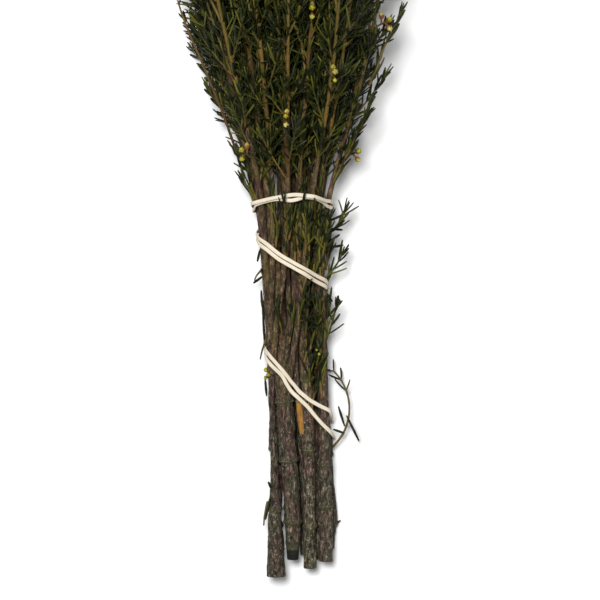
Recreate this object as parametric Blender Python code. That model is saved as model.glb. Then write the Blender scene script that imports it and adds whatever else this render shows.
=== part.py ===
"""A bundle of cut, needle-leaved stems bound by one long rubber band, lying on a table.

+Y runs from the cut ends to the leafy tips, +X is to the right and +Z is up. The origin is where
the rubber band lies flat on the table, under the bundle's waist. Lengths below are millimetres,
and MM turns them into metres where a mesh is written.
"""

import math
import random

import bmesh
import bpy
import numpy as np
from mathutils import Vector

MM = 0.001
GAP = 0.35  # clear space between two neighbouring pieces

# The levels along Y at which the stems are packed
STEP = 10.0
CUT_Y, TOP_Y = -190.0, 270.0

# The bundle's outline: an ellipse of stem centres that opens above the waist
WAIST_X, WAIST_Z = 15.6, 12.6
FAN_X, FAN_Z = 70.0, 38.0
FAN_X_RISE, FAN_Z_RISE = 155.0, 140.0
WAIST_CENTRE_X, WAIST_CENTRE_Z = -0.6, 11.4
FAN_FLOOR = 3.6  # height of the lowest stem centres where the leaves lie on the table
BAND_FLOOR = 1.3  # the stems are held this far off the table where the band runs under them
BAND_FROM, BAND_TO = -124.0, 8.0

# The thick stems: x, z and y of the cut end, then the radii at RADII_AT above the cut and at the waist
MAIN_STEMS = (
    (-7.3, 11.6, -188.5, (4.8, 4.1, 2.9, 1.8, 1.5, 1.6)),
    (1.0, 10.4, -180.0, (2.9, 3.8, 4.2, 4.2, 4.2, 2.7)),
    (8.7, 9.4, -184.5, (3.2, 3.1, 3.1, 3.2, 3.0, 2.4)),
    (17.2, 8.6, -181.0, (3.5, 3.4, 3.3, 3.0, 2.7, 2.3)),
    (-6.4, 3.3, -176.0, (3.2, 3.1, 3.0, 2.9, 2.8, 2.3)),
    (0.9, 3.1, -173.0, (3.0, 3.1, 2.9, 2.8, 2.7, 2.3)),
    (7.7, 2.9, -178.0, (2.8, 2.8, 2.7, 2.6, 2.6, 2.2)),
    (13.6, 2.6, -180.5, (2.5, 2.6, 2.5, 2.4, 2.3, 2.1)),
    (19.0, 2.5, -175.0, (2.4, 2.5, 2.4, 2.3, 2.3, 2.1)),
)
RADII_AT = (0, 15, 38, 52, 75)
LEANS = {1: -0.28}  # extra shift of a stem's waist place, as a share of the half-width
# Sideways shifts: stem and branch number, the y where the shift is greatest, its reach, then x and z
PULLS = (
    (0, 0, -108.0, 34.0, 1.8, -1.0), (1, 0, -108.0, 34.0, -1.7, 0.0), (2, 0, -108.0, 34.0, 2.4, 0.0),
    (2, 1, -108.0, 34.0, -6.6, 1.4), (3, 0, -108.0, 34.0, 2.2, 0.0), (3, 0, -50.0, 34.0, 5.2, 0.0),
)
FRONT_STEMS = 4  # the first of them lie uppermost and are the roundest
BUTT_CENTRE, BUTT_HALF = (6.0, 7.2), (14.0, 6.5)

# The branches, which start on a thick stem below the waist and fill the other places there
AXES = 26
BRANCH_START = (-104.0, -30.0)
FORKS = {1: -99.0, 2: -129.0}  # the y at which the first branch leaves these thick stems
BRANCH_SPREAD = 55.0  # length over which a branch moves from its stem to its own place
BRANCHES_PER_STEM = 3
BRANCH_RADIUS = 1.75
WAIST_BRANCH_RADIUS = 1.35
FAN_RADIUS, TIP_RADIUS = 1.15, 0.5
FAN_THINS_BY = 60.0
CROOKEDNESS = 0.7  # how far the wood strays to either side below the waist
GOLDEN = math.pi * (3 - math.sqrt(5))

# Bark joints: rings where leaf pairs once sat on the thick stems
JOINT_EVERY, JOINT_HALF, JOINT_SWELL, JOINTS_END = 43.0, 2.2, 0.16, -20.0
SEEN_JOINTS = {0: (-155.0,), 1: (-161.5, -130.5, -101.0), 2: (-163.8, -125.0), 3: (-153.5, -132.5, -77.5)}
WOOD_RING_STEP = 24.0

# Where the brown wood ends and the green leafy shoot begins
GREEN_FROM = (9.0, 46.0)

# Leaves: three to twelve times as long as wide, and nearly parallel-sided
LEAF_LENGTH = (9.5, 16.0)
LEAF_BASE = 1.5
LEAF_HALF_WIDTH, LEAF_HALF_THICK = 0.68, 0.42
LEAF_SHOULDER = 0.62  # share of its length at which a leaf starts to taper
LEAF_ANGLE = (32.0, 54.0)
LEAF_BEND = 14.0
LEAF_CLEAR = 0.75  # radius kept free round a leaf's middle line

# Side shoots on each leafy shoot
SHOOT_LENGTH = (30.0, 46.0)
SHOOT_LEAN = 38.0
SHOOT_RADIUS = 0.6

# The rubber band: a doubled strap wound down the bundle from the waist
STRAP_WIDTH, STRAP_THICK = 2.0, 0.8
BAND_TURN_STEP = 12.0
# Angle round the bundle from +X towards +Z, place along Y, distance between both strands, and 1
# where the first strand lies on top of the other one
BAND_COURSE = (
    (308, -1.6, 2.6, 0), (270, -1.35, 2.6, 0), (232, -2.4, 2.5, 0), (190, -4.2, 2.4, 0),
    (178, -3.9, 2.4, 0), (162, -3.2, 2.3, 1), (150, -1.9, 0.6, 1), (140, -0.95, 0.5, 1),
    (120, 0.55, 0.5, 1), (106, 0.8, 1.2, 1), (92, 0.45, 2.6, 1), (81, 0.9, 2.4, 1),
    (70, 1.9, 0.8, 1), (55, 0.95, 0.5, 1), (40, -0.1, 0.4, 1), (32, -0.9, 0.8, 1),
    (22, -2.0, 2.3, 1), (8, -3.1, 2.3, 0), (-10, -4.6, 2.4, 0), (-90, -11.5, 2.6, 0),
    (-180, -17.8, 2.7, 0), (-200, -19.5, 2.8, 0), (-212, -21.0, 2.9, 0), (-222, -23.8, 2.9, 0),
    (-231, -26.4, 2.8, 0), (-245, -28.8, 2.7, 0), (-272, -32.6, 2.7, 0), (-304, -37.2, 2.8, 0),
    (-324, -39.5, 2.9, 0), (-345, -42.0, 3.0, 0), (-360, -44.0, 3.0, 0), (-450, -59.5, 3.6, 0),
    (-540, -74.5, 3.8, 0), (-570, -77.5, 4.0, 0), (-583, -80.5, 4.2, 0), (-595, -88.0, 4.2, 0),
    (-619, -93.4, 4.2, 0), (-647, -97.1, 4.8, 0), (-663, -100.7, 5.9, 0), (-677, -104.1, 7.4, 0),
    (-689, -107.5, 9.0, 0), (-700, -111.2, 10.5, 0), (-720, -114.0, 9.6, 0), (-765, -117.0, 6.4, 0),
    (-800, -118.0, 4.4, 0),
)

# Small shoots that stand out low on the bundle: root x and y, azimuth round the bundle, lean from
# +Y at the root, change of lean up to the tip, length, and pairs of leaves
SIDE_SPRIGS = (
    (19.0, -123.0, 20.0, 45.0, -92.0, 42.0, 3),
    (-14.0, -77.0, 155.0, 165.0, 12.0, 9.0, 1),
    (-15.0, -36.0, 160.0, 135.0, 25.0, 5.0, 1),
    (19.0, -40.0, 15.0, 45.0, -20.0, 14.0, 2),
    (18.0, -17.0, 20.0, 50.0, -25.0, 14.0, 2),
    (12.0, -31.0, 60.0, 20.0, -10.0, 22.0, 2),
    (5.0, -26.0, 90.0, 18.0, -8.0, 20.0, 2),
    (8.0, -67.0, 80.0, 30.0, -15.0, 17.0, 2),
    (16.0, -68.0, 45.0, 28.0, -12.0, 16.0, 2),
    (-4.0, -12.0, 100.0, 14.0, -6.0, 11.0, 1),
    (-11.0, -149.0, 160.0, 165.0, 12.0, 10.0, 1),
)
SPRIG_RADIUS, SPRIG_LEAF = 0.65, 0.75
# Shifts along Y and extra leans tried, in this order, until a sprig is clear of all else
NUDGES = [(shift, tilt) for shift in (0, 2, -2, 4, -4, 6, -6, 9, -9) for tilt in (0, 8, -8, 16, -16, 24)]

# Flower buds: x and y of each small cluster, and the azimuth at which it leaves the bundle
BUD_SPRIGS = (
    (13.5, 96.0, 90.0), (22.5, 74.0, 80.0), (46.0, 92.0, 40.0), (-3.5, 53.0, 95.0),
    (-18.0, 28.0, 120.0), (35.0, 28.0, 30.0), (-40.0, 150.0, 130.0), (12.0, 175.0, 90.0),
    (48.0, 190.0, 50.0), (-14.0, 215.0, 100.0),
)
BUD_RADIUS, BUD_LENGTH, BUD_STALK, BUD_LEAN = 1.75, 4.4, 7.0, 45.0
STALK_RADIUS, SIDE_STALK = 0.5, 2.4
# Share of a bud's length and share of its radius, from its foot to its tip
BUD_SWELL = ((0.0, 0.3), (0.28, 0.85), (0.62, 1.0), (0.9, 0.6), (1.0, 0.0))
SMALL_BUD_SWELL = ((0.0, 0.3), (0.4, 1.0), (0.85, 0.75), (1.0, 0.0))

# Viewport colours
BARK = (0.20, 0.15, 0.11, 1)
TWIG_GREEN = (0.045, 0.075, 0.03, 1)
BUD_YELLOW = (0.50, 0.52, 0.08, 1)
RUBBER = (0.86, 0.80, 0.68, 1)


def smooth(t):
    """0 below 0, 1 above 1, and an even rise between."""
    t = np.clip(t, 0.0, 1.0)
    return t * t * (3 - 2 * t)


def outline(y):
    """Half-width, half-height and centre (x, z) of the ellipse of stem centres at y."""
    up = np.maximum(y, 0.0)
    half_x = WAIST_X + FAN_X * (1 - np.exp(-up / FAN_X_RISE))
    half_z = WAIST_Z + FAN_Z * (1 - np.exp(-up / FAN_Z_RISE))
    settled = smooth(up / 70.0)
    centre_x = WAIST_CENTRE_X + 1.5 * settled
    centre_z = WAIST_CENTRE_Z * (1 - settled) + (half_z + FAN_FLOOR) * settled
    return half_x, half_z, centre_x, centre_z


def stem_radius(axis, y):
    """Radius of an axis at y, without its bark joints: one number, or one for each level."""
    if axis["main"]:
        ys = (*(axis["start"] + d for d in RADII_AT), 0.0, FAN_THINS_BY, axis["top"])
        rs = (*axis["radii"], FAN_RADIUS, TIP_RADIUS)
    else:
        ys = (axis["start"], 0.0, FAN_THINS_BY, axis["top"])
        rs = (BRANCH_RADIUS, WAIST_BRANCH_RADIUS, FAN_RADIUS * 0.9, TIP_RADIUS)
    radius = np.interp(y, ys, rs)
    return radius if np.ndim(y) else float(radius)


def bark_radius(axis, y):
    """Radius of an axis at y, with the swelling of its bark joints."""
    swell = max((1 - abs(y - j) / JOINT_HALF for j in axis["joints"]), default=0)
    return stem_radius(axis, y) * (1 + JOINT_SWELL * max(swell, 0))


def waist_places():
    """Places in the unit disc, spread as seeds are in a flower head."""
    reaches = [math.sqrt((i + 0.5) / AXES) for i in range(AXES)]
    return [(r * math.cos(i * GOLDEN), r * math.sin(i * GOLDEN)) for i, r in enumerate(reaches)]


def nearest(place, places):
    return min(places, key=lambda p: (p[0] - place[0]) ** 2 + (p[1] - place[1]) ** 2)


def plan_axes():
    """One dict for each thick stem, then for each branch: where it starts, its place and its parent."""
    rng = random.Random(11)
    free = waist_places()
    axes = []
    order = sorted(range(len(MAIN_STEMS)), key=lambda i: -abs(MAIN_STEMS[i][0] - BUTT_CENTRE[0]))
    for i in order:
        x, z, cut, radii = MAIN_STEMS[i]
        u, v = (0.8 * (w - c) / h for w, c, h in zip((x, z), BUTT_CENTRE, BUTT_HALF))
        place = nearest((u + LEANS.get(i, 0.0), v), free)
        free.remove(place)
        stem = {"main": True, "number": i, "branch": 0, "foot": (x, z), "start": cut, "radii": radii}
        axes.append({**stem, "place": place})
    axes.sort(key=lambda a: a["number"])
    children = [0] * len(axes)
    for place in free:
        open_stems = [i for i in range(len(MAIN_STEMS)) if children[i] < BRANCHES_PER_STEM]
        parent = min(open_stems, key=lambda i: math.dist(axes[i]["place"], place))
        children[parent] += 1
        branch = children[parent]
        start = rng.uniform(*BRANCH_START)
        if branch == 1:
            start = FORKS.get(parent, start)
        axes.append({"main": False, "number": parent, "branch": branch, "start": start, "place": place})
    for axis in axes:
        spread = math.hypot(*axis["place"])
        axis["top"] = 258.0 - 78.0 * spread**2 + rng.uniform(-14, 6)
        axis["green"] = rng.uniform(*GREEN_FROM)
        axis["joints"] = bark_joints(axis) if axis["main"] else []
        sideways = (rng.uniform(1.0, 3.0), rng.uniform(0, math.tau))
        axis["sway"] = (*sideways, rng.uniform(0.8, 2.0), rng.uniform(0, math.tau))
    return axes


def packed_radius(axis, levels):
    """Radius kept for an axis at each level: its bark joints' radius near a joint."""
    near_joint = [any(abs(y - j) < STEP for j in axis["joints"]) for y in levels]
    return stem_radius(axis, levels) * np.where(near_joint, 1 + JOINT_SWELL, 1.0)


def bark_joints(axis):
    """The y of each bark joint of a thick stem: the ones seen, then others at even distances."""
    number = axis["number"]
    seen = SEEN_JOINTS.get(number, (axis["start"] + 12.0 + 6.0 * (number % 4),))
    apart = JOINT_EVERY - 4.0 * (number % 3)
    further = math.ceil((JOINTS_END - seen[-1]) / apart)
    return [*seen, *(seen[-1] + apart * i for i in range(1, further))]


def wished_paths(axes, levels):
    """The x and z that each axis would take with nothing in its way."""
    half_x, half_z, centre_x, centre_z = outline(levels)
    paths = np.zeros((len(axes), len(levels), 2))
    for k, axis in enumerate(axes):
        u, v = axis["place"]
        reach_x, phase_x, reach_z, phase_z = axis["sway"]
        loose = smooth(levels / 60.0)
        crooked = (1 - loose) * CROOKEDNESS
        fan_x = centre_x + u * half_x + reach_x * loose * np.sin(levels / 33.0 + phase_x)
        fan_z = centre_z + v * half_z + reach_z * loose * np.sin(levels / 29.0 + phase_z)
        if axis["main"]:
            rise = smooth((levels - axis["start"]) / (0 - axis["start"]))
            from_x, from_z = axis["foot"]
        else:
            rise = smooth((levels - axis["start"]) / BRANCH_SPREAD)
            from_x, from_z = paths[axis["number"], :, 0], paths[axis["number"], :, 1]
        stray_x = crooked * np.sin(levels / 13.0 + phase_x)
        stray_z = crooked * np.sin(levels / 15.0 + phase_z)
        for number, branch, pull_y, reach, pull_x, pull_z in PULLS:
            if (number, branch) == (axis["number"], axis["branch"]):
                pulled = np.exp(-(((levels - pull_y) / reach) ** 2))
                stray_x = stray_x + pull_x * pulled
                stray_z = stray_z + pull_z * pulled
        paths[k, :, 0] = from_x * (1 - rise) + fan_x * rise + stray_x
        paths[k, :, 1] = from_z * (1 - rise) + fan_z * rise + stray_z
    return paths


def kinship(axes, levels):
    """For each pair and level, how far apart they have to be: 0 where one grows out of the other."""
    starts = np.array([a["start"] for a in axes])
    stems = np.array([a["number"] for a in axes])
    later = np.maximum(starts[:, None], starts[None])
    apart = smooth((levels[None, None] - later[:, :, None] - 6.0) / 40.0)
    same = stems[:, None] == stems[None]
    exists = levels[None, None] >= later[:, :, None] - STEP
    return np.where(same[:, :, None], apart, 1.0) * exists


def pack_axes(axes, levels):
    """Pushes overlapping stems apart, level by level, and lets them settle on the table."""
    wished = wished_paths(axes, levels)
    paths = wished.copy()
    radii = np.array([packed_radius(a, levels) for a in axes])
    floor = BAND_FLOOR * smooth((levels - BAND_FROM + 30) / 25) * (1 - smooth((levels - BAND_TO) / 20))
    need = (radii[:, None] + radii[None] + 2 * GAP) * kinship(axes, levels)
    need[np.arange(len(axes)), np.arange(len(axes))] = 0
    rounds = 260
    for turn in range(rounds):
        gap = paths[:, None] - paths[None]
        distance = np.sqrt((gap**2).sum(-1)) + 1e-6
        short = np.clip(need - distance, 0, None)
        paths += 0.42 * (short[..., None] * gap / distance[..., None]).sum(1)
        if turn < rounds - 60:
            paths += 0.03 * (wished - paths)
            paths[:, 1:-1] += 0.22 * (paths[:, 2:] + paths[:, :-2] - 2 * paths[:, 1:-1])
        paths[:, :, 1] = np.maximum(paths[:, :, 1], radii + floor)
        for k, axis in enumerate(axes):
            if not axis["main"]:
                below = levels < axis["start"]
                paths[k, below] = paths[axis["number"], below]
    return paths


def point_on(axis, y):
    """The axis's centre at y, on a smooth curve through its levels."""
    t = (y - CUT_Y) / STEP
    i = int(min(max(math.floor(t), 0), len(axis["path"]) - 2))
    f = t - i
    path = axis["path"]
    before, after = path[max(i - 1, 0)], path[min(i + 2, len(path) - 1)]
    a, b = path[i], path[i + 1]
    x, z = 0.5 * ((2 * a) + (b - before) * f + (2 * before - 5 * a + 4 * b - after) * f**2
                  + (3 * a - before - 3 * b + after) * f**3)
    return Vector((float(x), y, float(z)))


def make_axes():
    levels = np.arange(CUT_Y, TOP_Y + STEP / 2, STEP)
    axes = plan_axes()
    for axis, path in zip(axes, pack_axes(axes, levels)):
        axis["path"] = path
    return axes


class Room:
    """What is already placed, as short rods, so that a new leaf or shoot can be kept clear of it."""

    def __init__(self):
        self.rods = []
        self.grown = None

    def add(self, owner, points, radii):
        for a, b, r in zip(points, points[1:], radii):
            self.rods.append((*a, *b, r, owner))
        self.grown = None

    def clear(self, owner, a, b, radius, own_margin=None):
        """True if the rod a-b keeps GAP to every other owner's rods, and own_margin to its own."""
        if self.grown is None or len(self.grown) != len(self.rods):
            self.grown = np.array(self.rods)
        rods = self.grown
        distance = rod_distances(np.array(a), np.array(b), rods[:, 0:3], rods[:, 3:6])
        own = rods[:, 7] == owner
        margin = np.where(own, -1e9 if own_margin is None else own_margin, GAP + 0.1)
        return bool((distance > rods[:, 6] + radius + margin).all())


def rod_distances(p, q, starts, ends, samples=9):
    """Least distance from the rod p-q to each of the rods, measured at points along p-q."""
    t = np.linspace(0, 1, samples)[:, None, None]
    points = p + (q - p) * t
    along = ends - starts
    length2 = (along**2).sum(-1) + 1e-12
    f = np.clip(((points - starts) * along).sum(-1) / length2, 0, 1)
    nearest_points = starts + along * f[..., None]
    return np.sqrt(((points - nearest_points) ** 2).sum(-1)).min(0)


def material(name, colour, roughness):
    made = bpy.data.materials.new(name)
    made.use_nodes = True
    shader = made.node_tree.nodes["Principled BSDF"]
    shader.inputs["Base Color"].default_value = colour
    shader.inputs["Roughness"].default_value = roughness
    shader.inputs["Metallic"].default_value = 0.0
    made.diffuse_color = colour
    return made


def object_from(name, bm, finish, smooth_angle=None):
    """Writes the mesh, in metres, into a new object."""
    for vertex in bm.verts:
        vertex.co *= MM
    bmesh.ops.recalc_face_normals(bm, faces=bm.faces)
    mesh = bpy.data.meshes.new(name)
    bm.to_mesh(mesh)
    bm.free()
    made = bpy.data.objects.new(name, mesh)
    bpy.context.scene.collection.objects.link(made)
    made.data.materials.append(finish)
    if smooth_angle:
        mesh.shade_smooth()
        mesh.set_sharp_from_angle(angle=math.radians(smooth_angle))
    return made


def frames_along(points, first_side=None):
    """A side and an up vector at each point, turned as little as possible from one to the next."""
    frames = []
    side = first_side
    for i in range(len(points)):
        tangent = (points[min(i + 1, len(points) - 1)] - points[max(i - 1, 0)]).normalized()
        if side is None:
            side = tangent.orthogonal()
        side = (side - tangent * side.dot(tangent)).normalized()
        frames.append((tangent, side, tangent.cross(side)))
    return frames


def ring_of(bm, centre, side, up, radius, sides, turn=0.0):
    """Corner i of the ring is at angle (i + 0.5) steps, so that face i points along step i."""
    ring = []
    for i in range(sides):
        angle = turn + math.tau * (i - 0.5) / sides
        ring.append(bm.verts.new(centre + radius * (math.cos(angle) * side + math.sin(angle) * up)))
    return ring


def as_ring(base):
    """A free face's corners in the order of ring_of, for a tube that grows from it."""
    return [*base[1:], base[0]]


def on_table(vertices):
    for vertex in vertices:
        vertex.co.z = max(vertex.co.z, 0.0)


def add_leaf(bm, base, leaf):
    """Grows a leaf from a free face of a shoot: base is its four corners, the lower two first."""
    middle, tip, across, over = leaf["middle"], leaf["tip"], leaf["across"], leaf["over"]
    shoulder = []
    for along_across, along_over in ((-1, -1), (1, -1), (1, 1), (-1, 1)):
        corner = middle + across * (along_across * LEAF_HALF_WIDTH) + over * (along_over * LEAF_HALF_THICK)
        shoulder.append(bm.verts.new(corner))
    end = bm.verts.new(tip)
    on_table(shoulder)
    for i in range(4):
        j = (i + 1) % 4
        bm.faces.new((base[i], base[j], shoulder[j], shoulder[i]))
        bm.faces.new((shoulder[i], shoulder[j], end))


def tube(bm, points, radii, sides, growths=None, first_ring=None, first_side=None, turn=0.0, pointed=True):
    """A closed tube along points. growths maps (stretch, face) to what grows there instead of that face."""
    growths = growths or {}
    frames = frames_along(points, first_side)
    rings = []
    for i, (centre, radius) in enumerate(zip(points, radii)):
        if i == 0 and first_ring:
            rings.append(first_ring)
            continue
        if i == len(points) - 1 and pointed:
            break
        ring = ring_of(bm, centre, frames[i][1], frames[i][2], radius, sides, turn)
        on_table(ring)
        rings.append(ring)
    if not first_ring:
        bm.faces.new(list(reversed(rings[0])))
    for i in range(len(rings) - 1):
        for f in range(sides):
            g = (f + 1) % sides
            corners = (rings[i][f], rings[i][g], rings[i + 1][g], rings[i + 1][f])
            if (i, f) in growths:
                growths[(i, f)](bm, corners)
            else:
                bm.faces.new(corners)
    last = rings[-1]
    if pointed:
        end = bm.verts.new(points[-1])
        for f in range(sides):
            bm.faces.new((last[f], last[(f + 1) % sides], end))
    else:
        bm.faces.new(last)


def stretches(length, stations, half=LEAF_BASE / 2):
    """Arc lengths of a shoot's rings: two round each station, and the two ends."""
    marks = [0.0]
    for s in stations:
        marks += [s - half, s + half]
    return marks + [length]


def along_curve(points, length):
    """A function from arc length to a point on the polyline."""
    lengths = [0.0]
    for a, b in zip(points, points[1:]):
        lengths.append(lengths[-1] + (b - a).length)
    scale = lengths[-1] / length

    def at(s):
        s = min(max(s * scale, 0.0), lengths[-1])
        i = max(j for j in range(len(lengths) - 1) if lengths[j] <= s + 1e-9)
        f = (s - lengths[i]) / (lengths[i + 1] - lengths[i])
        return points[i].lerp(points[i + 1], f)

    return at


def leaf_from(base_centre, tangent, outward, length, angle, bend):
    """A leaf's middle and tip, leaving a shoot at an angle and bending a little back towards it."""
    across = tangent.cross(outward).normalized()

    def heading(degrees):
        a = math.radians(degrees)
        return (math.cos(a) * tangent + math.sin(a) * outward).normalized()

    middle = base_centre + heading(angle) * (length * LEAF_SHOULDER)
    tip = middle + heading(angle - bend) * (length * (1 - LEAF_SHOULDER))
    low = LEAF_HALF_THICK + 0.05
    middle.z = max(middle.z, low)
    tip.z = max(tip.z, low)
    over = across.cross((tip - base_centre).normalized()).normalized()
    if over.dot(tangent) < 0:
        over = -over
    return {"root": base_centre, "middle": middle, "tip": tip, "across": across, "over": over}


def arched(root, direction, length, rise, pieces=4):
    """A side shoot's points: it leaves along direction and turns towards +Y as it grows."""
    points = [root.copy()]
    heading = direction.normalized()
    for _ in range(pieces):
        points.append(points[-1] + heading * (length / pieces))
        points[-1].z = max(points[-1].z, SHOOT_RADIUS + 0.2)
        heading = (heading + Vector((0, rise, 0))).normalized()
    return points


def curled(root, outward, lean, curl, length, pieces=5):
    """A sprig's points: lean degrees from +Y towards outward at the root, and curl more at the tip."""
    points = [root.copy()]
    for i in range(pieces):
        angle = math.radians(lean + curl * i / (pieces - 1))
        heading = Vector((0, math.cos(angle), 0)) + outward * math.sin(angle)
        points.append(points[-1] + heading * (length / pieces))
        points[-1].z = max(points[-1].z, SPRIG_RADIUS)
    return points


class Shoot:
    """A green twig with pairs of leaves at stations along it, and side shoots that are Shoots too."""

    def __init__(self, owner, points, radii, stations, first_side=None):
        self.owner = owner
        self.length = sum((b - a).length for a, b in zip(points, points[1:]))
        self.marks = stretches(self.length, stations)
        at = along_curve(points, self.length)
        self.points = [at(s) for s in self.marks]
        self.radii = [radii[0] + (radii[1] - radii[0]) * s / self.length for s in self.marks]
        self.frames = frames_along(self.points, first_side)
        self.stations = stations
        self.leaves = {}
        self.shoots = {}

    def free_face(self, station, face):
        """Centre, tangent and outward direction of a face that a leaf or shoot can grow from."""
        i = 1 + 2 * station
        tangent, side, up = self.frames[i]
        angle = math.tau * face / 4
        outward = math.cos(angle) * side + math.sin(angle) * up
        centre = (self.points[i] + self.points[i + 1]) / 2 + outward * (self.radii[i] * 0.7)
        return centre, tangent, outward

    def build(self, bm, first_ring=None):
        growths = {}
        for (station, face), leaf in self.leaves.items():
            growths[(1 + 2 * station, face)] = lambda b, base, leaf=leaf: add_leaf(b, base, leaf)
        for (station, face), shoot in self.shoots.items():
            growths[(1 + 2 * station, face)] = lambda b, base, shoot=shoot: shoot.build(b, as_ring(base))
        side = self.frames[0][1]
        tube(bm, self.points, self.radii, 4, growths, first_ring, side)

    def try_leaf(self, room, station, face, rng, size=1.0):
        """Grows a leaf where it is clear of everything else, shorter if it has to be."""
        centre, tangent, outward = self.free_face(station, face)
        angle = rng.uniform(*LEAF_ANGLE)
        bend = rng.uniform(0.3, 1.0) * LEAF_BEND
        length = rng.uniform(*LEAF_LENGTH) * size
        for share in (1.0, 0.8, 0.62):
            leaf = leaf_from(centre, tangent, outward, length * share, angle, bend)
            off = leaf["root"].lerp(leaf["middle"], 0.45)
            if (
                room.clear(self.owner, leaf["root"], leaf["middle"], LEAF_CLEAR)
                and room.clear(self.owner, off, leaf["middle"], LEAF_CLEAR, 0.1)
                and room.clear(self.owner, leaf["middle"], leaf["tip"], LEAF_CLEAR, 0.1)
            ):
                room.add(self.owner, (leaf["root"], leaf["middle"], leaf["tip"]), (LEAF_CLEAR, LEAF_CLEAR))
                self.leaves[(station, face)] = leaf
                return True
            angle *= 0.85
        return False

    def try_shoot(self, room, station, faces, rng, pairs=2):
        """Grows a side shoot from the first of these faces that leaves room for it."""
        length = rng.uniform(*SHOOT_LENGTH)
        for face in faces:
            centre, tangent, outward = self.free_face(station, face)
            lean = math.radians(SHOOT_LEAN)
            direction = math.cos(lean) * tangent + math.sin(lean) * outward
            points = arched(centre, direction, length, 0.12)
            off = points[0].lerp(points[1], 0.5)
            rods = [off, *points[1:]]
            if all(room.clear(self.owner, a, b, 1.0, 0.3) for a, b in zip(rods, rods[1:])):
                room.add(self.owner, points, (SHOOT_RADIUS,) * (len(points) - 1))
                stations = [length * (0.4 + 0.5 * n / max(pairs - 1, 1)) for n in range(pairs)]
                across = tangent.cross(outward).normalized()
                shoot = Shoot(self.owner, points, (SHOOT_RADIUS, 0.42), stations, across)
                self.shoots[(station, face)] = shoot
                return shoot
        return None


def band_course():
    """Angle, y, strand spacing and lift of the first strand, at even steps round the bundle."""
    course = np.array(BAND_COURSE)
    turns = np.arange(-course[0, 0], -course[-1, 0] + 1, BAND_TURN_STEP)
    ys, spacing, lifts = (np.interp(turns, -course[:, 0], course[:, i]) for i in (1, 2, 3))
    ys[1:-1] = 0.25 * ys[:-2] + 0.5 * ys[1:-1] + 0.25 * ys[2:]
    lifts = (STRAP_THICK + GAP) * smooth(1.3 * lifts)
    return [float(a) for a in np.radians(-turns)], ys.tolist(), spacing.tolist(), lifts.tolist()


def hull_point(axes, angle, y, off):
    """Where a taut strap lies: on the hull of all stems near y, off from their surface."""
    near = [y + d for d in (-2.8, -1.4, 0, 1.4, 2.8)]
    met = [(a, v) for v in near for a in axes if a["start"] - 2 <= v]
    circles = [(*point_on(a, v).xz, bark_radius(a, v) + off) for a, v in met]
    xs, zs, rs = (np.array(c) for c in zip(*circles))
    centre_x, centre_z = xs.mean(), zs.mean()
    around = np.linspace(0, math.tau, 181)
    from_centre_x, from_centre_z = xs - centre_x, zs - centre_z
    reach = np.array([(from_centre_x * math.cos(t) + from_centre_z * math.sin(t) + rs).max() for t in around])
    facing = np.cos(around - angle)
    ahead = facing > 0.2
    radii = reach[ahead] / facing[ahead]
    radius = float(radii.min())
    normal_angle = float(around[ahead][radii.argmin()])
    centre = Vector((float(centre_x), y, float(centre_z)))
    point = centre + Vector((radius * math.cos(angle), 0, radius * math.sin(angle)))
    return point, Vector((math.cos(normal_angle), 0, math.sin(normal_angle)))


def band_loop(axes):
    """Centre points and surface normals of the band's one closed loop: down one strand, up the other."""
    angles, ys, spacing, lifts = band_course()
    off = 1.6 * GAP + STRAP_THICK / 2
    down = [hull_point(axes, a, y + s / 2, off + e) for a, y, s, e in zip(angles, ys, spacing, lifts)]
    back = [hull_point(axes, a, y - s / 2, off) for a, y, s in zip(angles, ys, spacing)]
    bends = []
    for angle, y, s, way in ((angles[-1], ys[-1], spacing[-1], -1), (angles[0], ys[0], spacing[0], 1)):
        bend = []
        for turn in (45, 0, -45):
            t = math.radians(turn)
            past = s / 2 * math.cos(t) / 16.0
            bend.append(hull_point(axes, angle + way * past, y + s / 2 * math.sin(t), off))
        bends.append(bend)
    return down + bends[0] + back[::-1] + bends[1][::-1]


def make_band(axes, room):
    loop = band_loop(axes)
    count = len(loop)
    bm = bmesh.new()
    rings = []
    for i, (centre, normal) in enumerate(loop):
        along = (loop[(i + 1) % count][0] - loop[i - 1][0]).normalized()
        normal = (normal - along * normal.dot(along)).normalized()
        across = along.cross(normal)
        ring = []
        for u, v in ((-1, -1), (1, -1), (1, 1), (-1, 1)):
            ring.append(bm.verts.new(centre + across * (u * STRAP_WIDTH / 2) + normal * (v * STRAP_THICK / 2)))
        on_table(ring)
        rings.append(ring)
    for i in range(count):
        j = (i + 1) % count
        for f in range(4):
            g = (f + 1) % 4
            bm.faces.new((rings[i][f], rings[i][g], rings[j][g], rings[j][f]))
    points = [p for p, _ in loop]
    room.add(BAND_OWNER, [*points, points[0]], (STRAP_WIDTH / 2,) * count)
    object_from("rubber_band", bm, FINISHES["rubber"], 35)


def wood_rings(axis, end):
    """The y of each ring of a wooden stem: even steps, and three rings round each bark joint."""
    count = max(2, round((end - axis["start"]) / WOOD_RING_STEP))
    even = [axis["start"] + (end - axis["start"]) * i / count for i in range(count + 1)]
    inner = [y for y in even[1:-1] if all(abs(y - j) > 3.5 * JOINT_HALF for j in axis["joints"])]
    swollen = [j + d for j in axis["joints"] for d in (-JOINT_HALF, 0, JOINT_HALF)]
    return sorted([even[0], even[-1], *inner, *swollen])


def wood_tube(axis, sides):
    end = axis["green"]
    ys = wood_rings(axis, end)
    if not axis["main"]:
        ys[0] -= 4.0  # the root is sunk into the parent stem
    points = [point_on(axis, y) for y in ys]
    radii = [bark_radius(axis, y) for y in ys]
    bm = bmesh.new()
    tube(bm, points, radii, sides, pointed=False)
    return bm


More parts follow.
